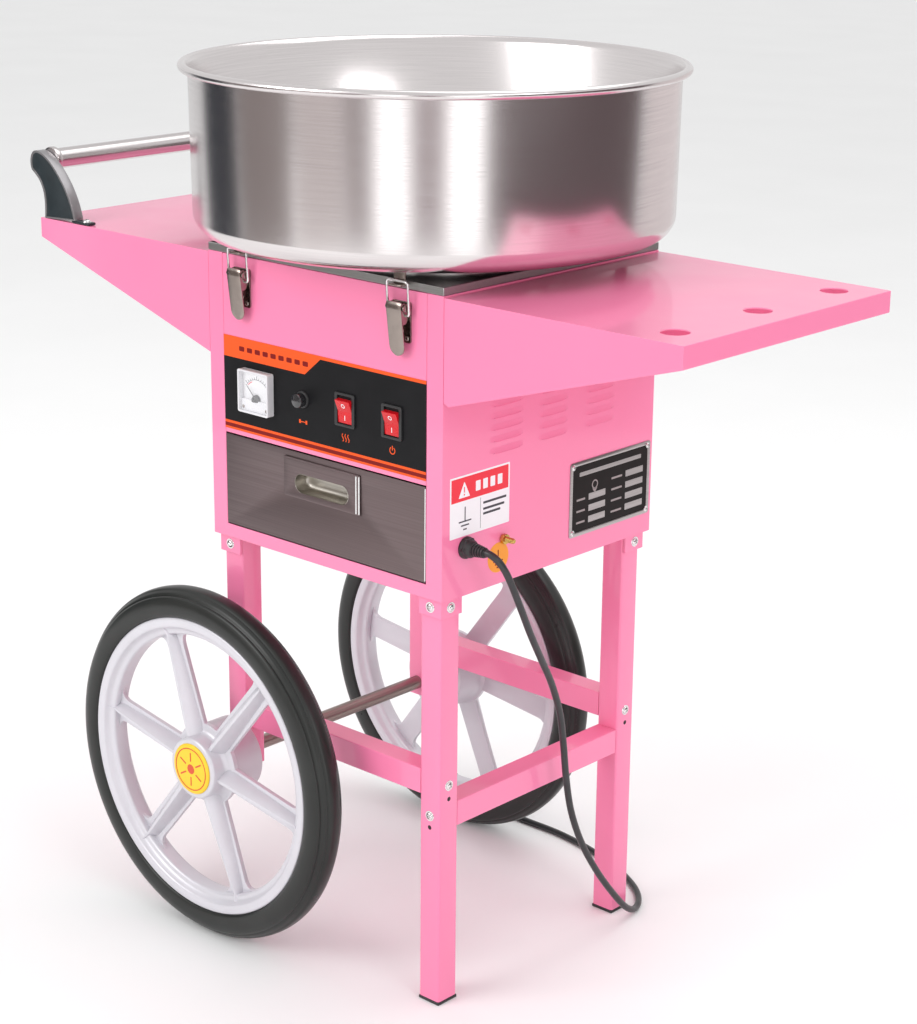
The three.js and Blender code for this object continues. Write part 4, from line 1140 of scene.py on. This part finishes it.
def make_latch(side, end):
    """A draw latch: ears and pin on a riveted plate, a round-tipped lever, a wire bail over the keeper."""
    x = LATCH_X if end == "right" else -LATCH_X
    tag = f"{side}_{end}"
    mirror = 1 if side == "front" else -1

    def stand(bm):
        return placed(bm, moved(x, -mirror * DEPTH, 0) @ Matrix.Scale(mirror, 4, (0, 1, 0)))

    # Built at the control side with y = 0 on the cabinet wall.
    pin_z, tip_z = 752, 713.2  # the pivot, and where the lever begins to round off
    footing = placed(plate([rectangle(-12, 12, 716, 757, 2.5)], 1.4), on("front", (0, -0.3, 0)))
    ear = [(1, 749), (10, 748.8), *arc((10.1, pin_z), 2.7, -60, 60, 8), (10, 755.2), (1, 757)]
    ears = [placed(plate([ear], 1.3), edgewise(u)) for u in (-12.1, 10.8)]
    pin = placed(lathe([(0, -12.6), (1.4, -12.5), (1.5, -12), (1.5, 12), (1.4, 12.5), (0, 12.6)], 24),
                 moved(0, -10, pin_z) @ rotated(90, "Y"))
    rivet = lathe([(0, 1.2), (1.4, 1.1), (2.2, 0.6), (2.5, 0), (0, 0)], 24)
    rivets = copies(rivet, [on("front", (u, -1.65, z)) for u, z in ((-7, 720.5), (7, 720.5), (0, 727))])
    base = joined(bevelled(joined(footing, *ears), 0.35, 2), pin, rivets)
    piece(f"latch_plate_{tag}", stand(base), LATCH_STEEL, replaces=f"latch_base_{tag}")

    bm = bmesh.new()
    levels = [758, 757, 754, 750, 742, 734, 727,
              721] + [tip_z - 10 * math.sin(math.radians(9 * k)) for k in range(11)]
    thick = 1.4

    def out_at(z):
        leaning = 14.8 - (756 - z) * 6.6 / 53
        return leaning - max(0, z - 753) ** 2 * 0.08

    def half_at(z):
        if z >= tip_z:
            return 10.0 if z < 757.5 else 8.6
        return math.sqrt(max(0.04, 100 - (tip_z - z) ** 2))

    grid = []
    for z in levels:
        row = []
        half = half_at(z)
        for u in (-1, -0.86, -0.3, 0.3, 0.86, 1):
            edge = 0.5 if abs(u) == 1 else 0.0
            row.append(bm.verts.new((u * half, -(out_at(z) - edge), z)))
        for u in (1, 0.86, 0.3, -0.3, -0.86, -1):
            row.append(bm.verts.new((u * half, -(out_at(z) - thick), z)))
        grid.append(row)
    for upper, lower in zip(grid, grid[1:]):
        for k in range(12):
            after = (k + 1) % 12
            bm.faces.new([upper[k], lower[k], lower[after], upper[after]])
    bm.faces.new(grid[0])
    bm.faces.new(list(reversed(grid[-1])))
    cheek = [(2.9, 741), (6, 736), (11.2, 735.5), (13.4, 755.5), (7.2, 757), (2.9, 747)]
    outline = rounded(cheek, [1.5, 2, 0, 0, 2.5, 1.5])
    cheeks = [placed(plate([outline], thick), edgewise(u)) for u in (-10, 8.6)]
    piece(f"latch_handle_{tag}", stand(joined(bm, bevelled(joined(*cheeks), 0.3, 2))), LATCH_STEEL,
          f"latch_lever_{tag}", f"latch_lever_{tag}", smooth=32)
    corners = [(-8.4, 6.2, 744), (-14.2, 6.2, 744), (-14.2, 8.5, 778), (14.2, 8.5, 778), (14.2, 6.2, 744),
               (8.4, 6.2, 744)]
    path = []
    points = [Vector((u, -w, z)) for u, w, z in corners]
    path.append(points[0])
    for before, here, after in zip(points, points[1:], points[2:]):
        start = here + (before - here).normalized() * 4
        stop = here + (after - here).normalized() * 4
        for k in range(9):
            t = k / 8
            path.append(start * (1 - t) ** 2 + here * (2 * t * (1 - t)) + stop * t ** 2)
    path.append(points[-1])
    piece(f"latch_wire_{tag}", stand(wire(path, 1.3, 14)), CHROME, f"latch_bail_{tag}", f"latch_bail_{tag}",
          smooth=60)


for latch_side in ("front", "back"):
    for latch_end in ("left", "right"):
        make_latch(latch_side, latch_end)

# ---- push handle

HANDLE_X, HANDLE_Z = -446.0, 832.0
BRACKET_Z = 767.8  # where the brackets stand on the shelf
TAB_TOP = BRACKET_Z + 3


def bezier(p0, p1, p2, p3, steps=14):
    points = []
    for k in range(steps):
        t = k / steps
        s = 1 - t
        points.append(tuple(s ** 3 * a + 3 * s * s * t * b + 3 * s * t * t * c + t ** 3 * d
                            for a, b, c, d in zip(p0, p1, p2, p3)))
    return points


def bracket_outline():
    end, base = HANDLE_END, BRACKET_Z
    return (bezier((end + 8, base), (end + 12, base + 34), (end + 2, base + 43), (end - 12, base + 52))
            + bezier((end - 12, base + 52), (end - 15.5, base + 57), (end - 15.5, base + 68), (end - 9,
                                                                                               base + 73))
            + bezier((end - 9, base + 73), (end + 2, base + 80), (end + 24, base + 66), (end + 40, base + 46))
            + bezier((end + 40, base + 46), (end + 52, base + 32), (end + 60, base + 14), (end + 62, base)))


def inset(points, amount):
    """A closed outline drawn in by so much."""
    result = []
    count = len(points)
    area = sum(a[0] * b[1] - b[0] * a[1] for a, b in zip(points, points[1:] + points[:1]))
    turn = 1 if area > 0 else -1
    for i in range(count):
        before, here, after = (Vector(points[j % count]) for j in (i - 1, i, i + 1))
        a = (here - before).normalized()
        b = (after - here).normalized()
        normal = Vector((-(a.y + b.y), a.x + b.x)) * turn
        size = normal.length
        result.append(tuple(here + normal / size * amount) if size > 1e-6 else tuple(here))
    return result


def make_handle():
    outline = bracket_outline()
    for name in ("front", "back"):
        box = span(f"handle_bracket_{name}")
        x0, y0, y1, z1 = box[0], box[2], box[3], box[5]
        fit = [(max(x, x0), min(z, z1)) for x, z in outline]
        thick = y1 - y0
        band = plate([fit, inset(fit, 2.6)], thick)
        fill = placed(plate([inset(fit, 2.4)], thick - 1.6), moved(0, 0, 0.8))
        tab = bevelled(block(HANDLE_END + 55, HANDLE_END + 84, BRACKET_Z, TAB_TOP, 0.6, thick - 0.6), 0.9, 3)
        stand = on("front", (0, y1, 0))
        piece(f"handle_side_{name}", placed(joined(bevelled(fill, 0.7, 3), tab), stand), BRACKET_BLACK,
              replaces=f"handle_bracket_{name}")
        piece(f"handle_edge_{name}", placed(bevelled(band, 0.6, 2, 50), stand), HANDLE_EDGE)
        screws(f"handle_screw_{name}", 4.2, 2.6, [("top", (HANDLE_END + 75, (y0 + y1) / 2, TAB_TOP), 25)])
    reach = span("handle_tube")[3]
    boss = 6.0
    bar = lathe([(0, 0), (11.6, 0), (11.6, reach * 2), (0, reach * 2)], 72)
    ring = [(11.6, 0), (13.6, 0.4), (14.2, 1.6), (14.2, boss), (13.6, boss + 1.4), (11.6, boss + 2)]
    collars = joined(lathe(ring, 72, closed=True),
                     placed(lathe(ring, 72, closed=True), moved(0, 0, reach * 2) @ Matrix.Scale(-1, 4, (0, 0,
                                                                                                        1))))
    stand = moved(HANDLE_X, -reach, HANDLE_Z) @ rotated(-90, "X")
    piece("handle_bar", placed(bar, stand), HANDLE_STEEL, replaces="handle_tube")
    piece("handle_collars", placed(collars, stand), HANDLE_STEEL)


make_handle()

# ---- side wall: louvres, labels, gland, stud

def louvre(length, height, proud):
    """A pressed hood with pointed ends, flat to the wall on top and open in a thin lip below."""
    bm = bmesh.new()
    rows = []
    across = 18
    for k in range(across + 1):
        t = -1 + 2 * k / across
        fall = max(0.0, 1 - abs(t) ** 5)
        u = t * length / 2
        section = []
        for s in range(7):
            a = math.pi / 2 * s / 6
            v = height / 2 - height * math.sin(a) * (0.82 + 0.18 * fall)
            w = proud * fall * (1 - math.cos(a)) ** 0.6
            section.append(bm.verts.new((u, v, max(w, 0.02))))
        section.append(bm.verts.new((u, section[-1].co.y + 0.15, 0.01)))
        rows.append(section)
    for near, far in zip(rows, rows[1:]):
        for s in range(7):
            bm.faces.new([near[s], far[s], far[s + 1], near[s + 1]])
    return bm


def make_louvres():
    hoods, slit_shades = [], []
    for side in ("right", "left"):
        wall = FACE if side == "right" else -FACE
        for start, end in ((-98, -48), (-23, 23), (52, 100)):
            for row in range(6):
                place = on(side, (wall + (0.02 if side == "right" else -0.02), (start + end) / 2,
                                  600 + 12.2 * row))
                half = (end - start) / 2
                hoods.append(placed(louvre(2 * half, 6.4, 1.4), place))
                # A darker pink strip in each hood's open lip: painted shade of the slit, not a part of its
                # own.
                slit_shades.append(placed(block(-half + 5, half - 5, -3.05, -2.3, 0.02, 0.8), place))
    piece("louvre_hoods", joined(*hoods), PINK, smooth=60)
    piece("louvre_slit_shades", joined(*slit_shades), LOUVRE_SLIT_SHADE)




def make_labels():
    wall = (FACE, 0, 0)
    card = rectangle(-157, -67.6, 520.5, 584, 0.8, 3)
    print_on("safety_label", [card], PRINT_WHITE, 1, "right", wall)
    print_on("safety_band", [rectangle(-155, -69.6, 557.5, 582, 0.4, 2)], PRINT_RED, 2, "right", wall)
    triangle = [rounded([(-144.5, 561), (-127.5, 561), (-136, 577.5)], [1.2, 1.2, 1.2], 4)]
    bars = [rectangle(-119 + 11 * k, -112 + 11 * k, 564, 574.5, 0.8, 3) for k in range(4)]
    print_on("safety_sign", triangle + bars, PRINT_WHITE, 3, "right", wall)
    print_on("safety_spot", [circle(-136, 563.8, 0.9, 16), rectangle(-136.6, -135.4, 566, 572, 0.3, 2)],
             PRINT_RED, 4,
             "right", wall)
    rules = [stroke(-111.5, 523.5, -111.5, 555.5, 0.5)]
    rules += [rectangle(-107.5, -107.5 + width, z, z + 2.4, 0.4, 2)
              for z, width in ((548, 35), (541.5, 32), (536.5, 26))]
    rules += earth_symbol(-134.5, 536, 15, 1.5)
    print_on("safety_print", rules, PRINT_GREY_DARK, 2, "right", wall)

    sticker = (FACE, -83.6, 485.7)
    print_on("earth_sticker", [circle(0, 0, 16, 64)], PRINT_AMBER, 1, "right", sticker)
    print_on("earth_sticker_sign", earth_symbol(0, -4, 12, 1.5), PRINT_MAROON, 2, "right", sticker)

    rim = plate([rectangle(28.5, 163.7, 479, 561, 3), rectangle(33, 159.2, 483.5, 556.5, 2)], 0.9)
    piece("rating_rim", placed(bevelled(rim, 0.25, 2), on("right", wall)), PLATE_SILVER)
    ground = plate([rectangle(32.5, 159.7, 483, 557, 2)], 0.55)
    piece("rating_plate", placed(ground, on("right", wall)), RATING_BLACK)
    fields = [rectangle(44, 148, 544, 548.5, 0.8, 3)]
    fields += [rectangle(122, 152, z, z + 7, 0.5, 2) for z in (528, 515.5, 503, 490.5)]
    fields += [rectangle(60, 88, z, z + 7, 0.5, 2) for z in (515.5, 503, 490.5)]
    labels = [rectangle(98, 116, z + 2, z + 4.2, 0.4, 2) for z in (528, 515.5, 503, 490.5)]
    labels += [rectangle(40, 54, z + 2, z + 4.2, 0.4, 2) for z in (515.5, 503, 490.5)]
    cones = [hoop(70, 531, 5, 1.4), [(66, 527), (70, 521), (74, 527)]]
    front = (FACE + 0.5, 0, 0)
    print_on("rating_fields", fields, PLATE_SILVER, 1, "right", front)
    print_on("rating_lines", labels + cones, PRINT_GREY, 1, "right", front)
    corners = [("right", (FACE + 0.9, y, z), 20 * i) for i, (y, z) in
               enumerate(((33.5, 484), (158.7, 484), (33.5, 556), (158.7, 556)))]
    screws("rating_screws", 2.6, 1.6, corners)


make_louvres()
make_labels()


def make_gland():
    wall = FACE + 0.3
    length = GLAND_X - wall
    nut = placed(plate([circle(0, 0, 11.4, 6)], 5.6), moved(0, 0, 0.2))
    nut = bevelled(nut, 0.7, 3)
    ribs = []
    for k in range(5):
        w = 11 + 3.1 * k
        r = 7.2 - 0.42 * k
        ribs += [(r, w), (r, w + 1.8), (r - 1.1, w + 2.1), (r - 1.1, w + 2.9)]
    dome = lathe([(0, -11), (7.6, -11), (7.6, 0), (11.5, 0), (11.5, 1.6), (10.8, 2.4), (9.6, 5.6), (9.4, 8),
                  (8.4, 10),
                  (7.4, 11), *ribs, (4.8, length - 0.6), (4.5, length), (0, length)], 64)
    piece("gland_body", placed(joined(dome, nut), on("right", (wall, GLAND_Y, GLAND_Z))), BLACK_PLASTIC,
          replaces="cable_gland", smooth=40)


def make_stud():
    wall = FACE + 0.3
    profile = [(0, -12), (2.9, -12)]
    reach = span("earth_stud")[1] - wall
    w = 4.2
    while w < reach - 1.6:
        profile += [(3, w), (2.55, w + 0.5)]
        w += 1.0
    profile += [(2.5, reach - 0.8), (2, reach), (0, reach)]
    stud = lathe(profile, 32)
    hexagon = bevelled(plate([circle(0, 0, 5.5, 6)], 4), 0.5, 3)
    washer = lathe([(3, 4), (5, 4), (5.2, 4.3), (5.2, 4.9), (3, 5)], 32, closed=True)
    piece("earth_terminal", placed(joined(stud, hexagon, washer), on("right", (wall, -77, 504.5))), BRASS,
          replaces="earth_stud", smooth=40)


make_gland()
make_stud()

# ---- screws of the frame

def make_frame_screws():
    """Cross-head screws through the sockets, the legs and the rails, with a small empty hole below some,
    drawn as a flat dark disc of painted shade.
    """
    socket_x, socket_y = SHELL_X1 - 4.7, -SHELL_Y0 - 4.7
    places, holes = [], []
    for sx in (-1, 1):
        side = "right" if sx > 0 else "left"
        for sy in (-1, 1):
            facing = "front" if sy < 0 else "back"
            places.append((facing, (sx * 149, sy * socket_y, 447), 15 * sx))
            places.append((side, (sx * socket_x, sy * 149, 447), 35 * sy))
            if sx > 0:
                places.append((side, (LEG_X, sy * 146, 250 if sy < 0 else 248), 50))
                holes.append((side, (LEG_X, sy * 146, 235 if sy < 0 else 233), 0))
            places.append((facing, (sx * 147, sy * -LEG_Y, 216), 10 * sx))
            holes.append((facing, (sx * 147, sy * -LEG_Y, 203 if sx > 0 else 232), 0))
    x0, x1, y0, y1, z0, z1 = span("back_cover")
    for z in (z0 + 7, (z0 + z1) / 2, z1 - 7):
        places += [("back", (x, y1, z), 5 * x) for x in (x0 + 7, x1 - 7)]
    head = joined(lathe([(0, 0.4), (5.6, 0.4), (5.8, 0), (0, 0)], 28),
                  placed(pan_screw(4.3, 2.0), moved(0, 0, 0.35)))
    piece("frame_screws", copies(head, [on(*place) for place in places]), CHROME)
    # Each empty hole is a flat dark disc: painted shade.
    shade_disc = lathe([(0, 0.06), (2.3, 0.06), (2.5, 0.0), (0, 0)], 24)
    piece("frame_hole_shades", copies(shade_disc, [on(*place) for place in holes]), HOLE_SHADE)


make_frame_screws()

# ---- floor, cards and lights

def stage_material(name, color, roughness):
    made = Finish(name, color, roughness)
    made.vary_color(tuple(c * 0.97 for c in color), made.noise(2.5))
    return made.material


def make_floor():
    mesh = bpy.data.meshes.new("floor")
    far = 14
    corners = [(-far, -far, 0), (far, -far, 0), (far, far, 0), (-far, far, 0)]
    mesh.from_pydata(corners, [], [(0, 1, 2, 3)])
    mesh.materials.append(stage_material("floor", (0.94, 0.94, 0.94), 0.7))
    added("floor", mesh)


def make_card(name, start, end, color, strength=1.0, far=2.3, high=1.25):
    """An upright card seen only in reflections; its ends are degrees round from the camera's side."""
    made = Finish(name, (0, 0, 0), 0.9, Specular_IOR_Level=0.0)
    made.set("Emission Color", (*color, 1))
    glow = made.add("ShaderNodeMapRange")
    glow.inputs["To Min"].default_value = strength * 0.85
    glow.inputs["To Max"].default_value = strength * 1.15
    made.link(made.noise(3), glow.inputs["Value"])
    made.link(glow.outputs["Result"], made.bsdf.inputs["Emission Strength"])
    facing = math.degrees(math.atan2(CAMERA_PLACE[1], CAMERA_PLACE[0] - CAMERA_AIM[0]))
    steps = max(2, int(abs(end - start) / 6))
    verts = []
    for k in range(steps + 1):
        a = math.radians(facing + start + (end - start) * k / steps)
        verts += [(far * math.cos(a), far * math.sin(a), 0.004), (far * math.cos(a), far * math.sin(a), high)]
    faces = [(2 * k, 2 * k + 2, 2 * k + 3, 2 * k + 1) for k in range(steps)]
    mesh = bpy.data.meshes.new(name)
    mesh.from_pydata(verts, [], faces)
    mesh.materials.append(made.material)
    card = added(name, mesh)
    card.visible_camera = card.visible_diffuse = card.visible_shadow = card.visible_transmission = False


def make_light(name, place, width, height, power, color=(1, 1, 1), aim=(0, 0, 0.6)):
    data = bpy.data.lights.new(name, "AREA")
    data.shape = "RECTANGLE"
    data.size = width
    data.size_y = height
    data.energy = power
    data.color = color
    light = added(name, data)
    toward = Vector(aim) - Vector(place)
    light.matrix_world = Matrix.Translation(place) @ toward.to_track_quat("-Z", "Y").to_matrix().to_4x4()


def light_studio():
    world = bpy.data.worlds.new("studio")
    world.use_nodes = True
    world.node_tree.nodes["Background"].inputs["Color"].default_value = (1, 1, 1, 1)
    world.node_tree.nodes["Background"].inputs["Strength"].default_value = 0.86
    bpy.context.scene.world = world
    bpy.context.scene.view_settings.view_transform = "Standard"
    make_light("key", (-1.3, -3.4, 2.3), 2.2, 2.2, 66)
    make_light("fill", (3.6, -0.7, 1.5), 1.6, 2.0, 26)
    make_light("top", (0.5, 0.9, 3.4), 2.6, 2.6, 30, aim=(0.1, 0, 0.8))


make_floor()
# Degrees round from the camera, then colour and strength: what the bowl mirrors.
make_card("card_far_left", -127, -98, (0.03, 0.035, 0.045))
make_card("card_left", -96, -65, (0.30, 0.26, 0.25))
make_card("card_left_light", -62, -39, (0.72, 0.66, 0.65))
make_card("card_left_mid", -38, -26, (0.34, 0.29, 0.29))
make_card("strip_left", -24, -11, (1, 1, 1), 2.2)
make_card("card_middle", -9, 5, (0.34, 0.27, 0.28))
make_card("strip_right", 7, 21, (1, 1, 1), 2.2)
make_card("card_right", 23, 104, (0.14, 0.105, 0.11))
make_card("card_far_right", 108, 150, (0.85, 0.78, 0.78))
light_studio()
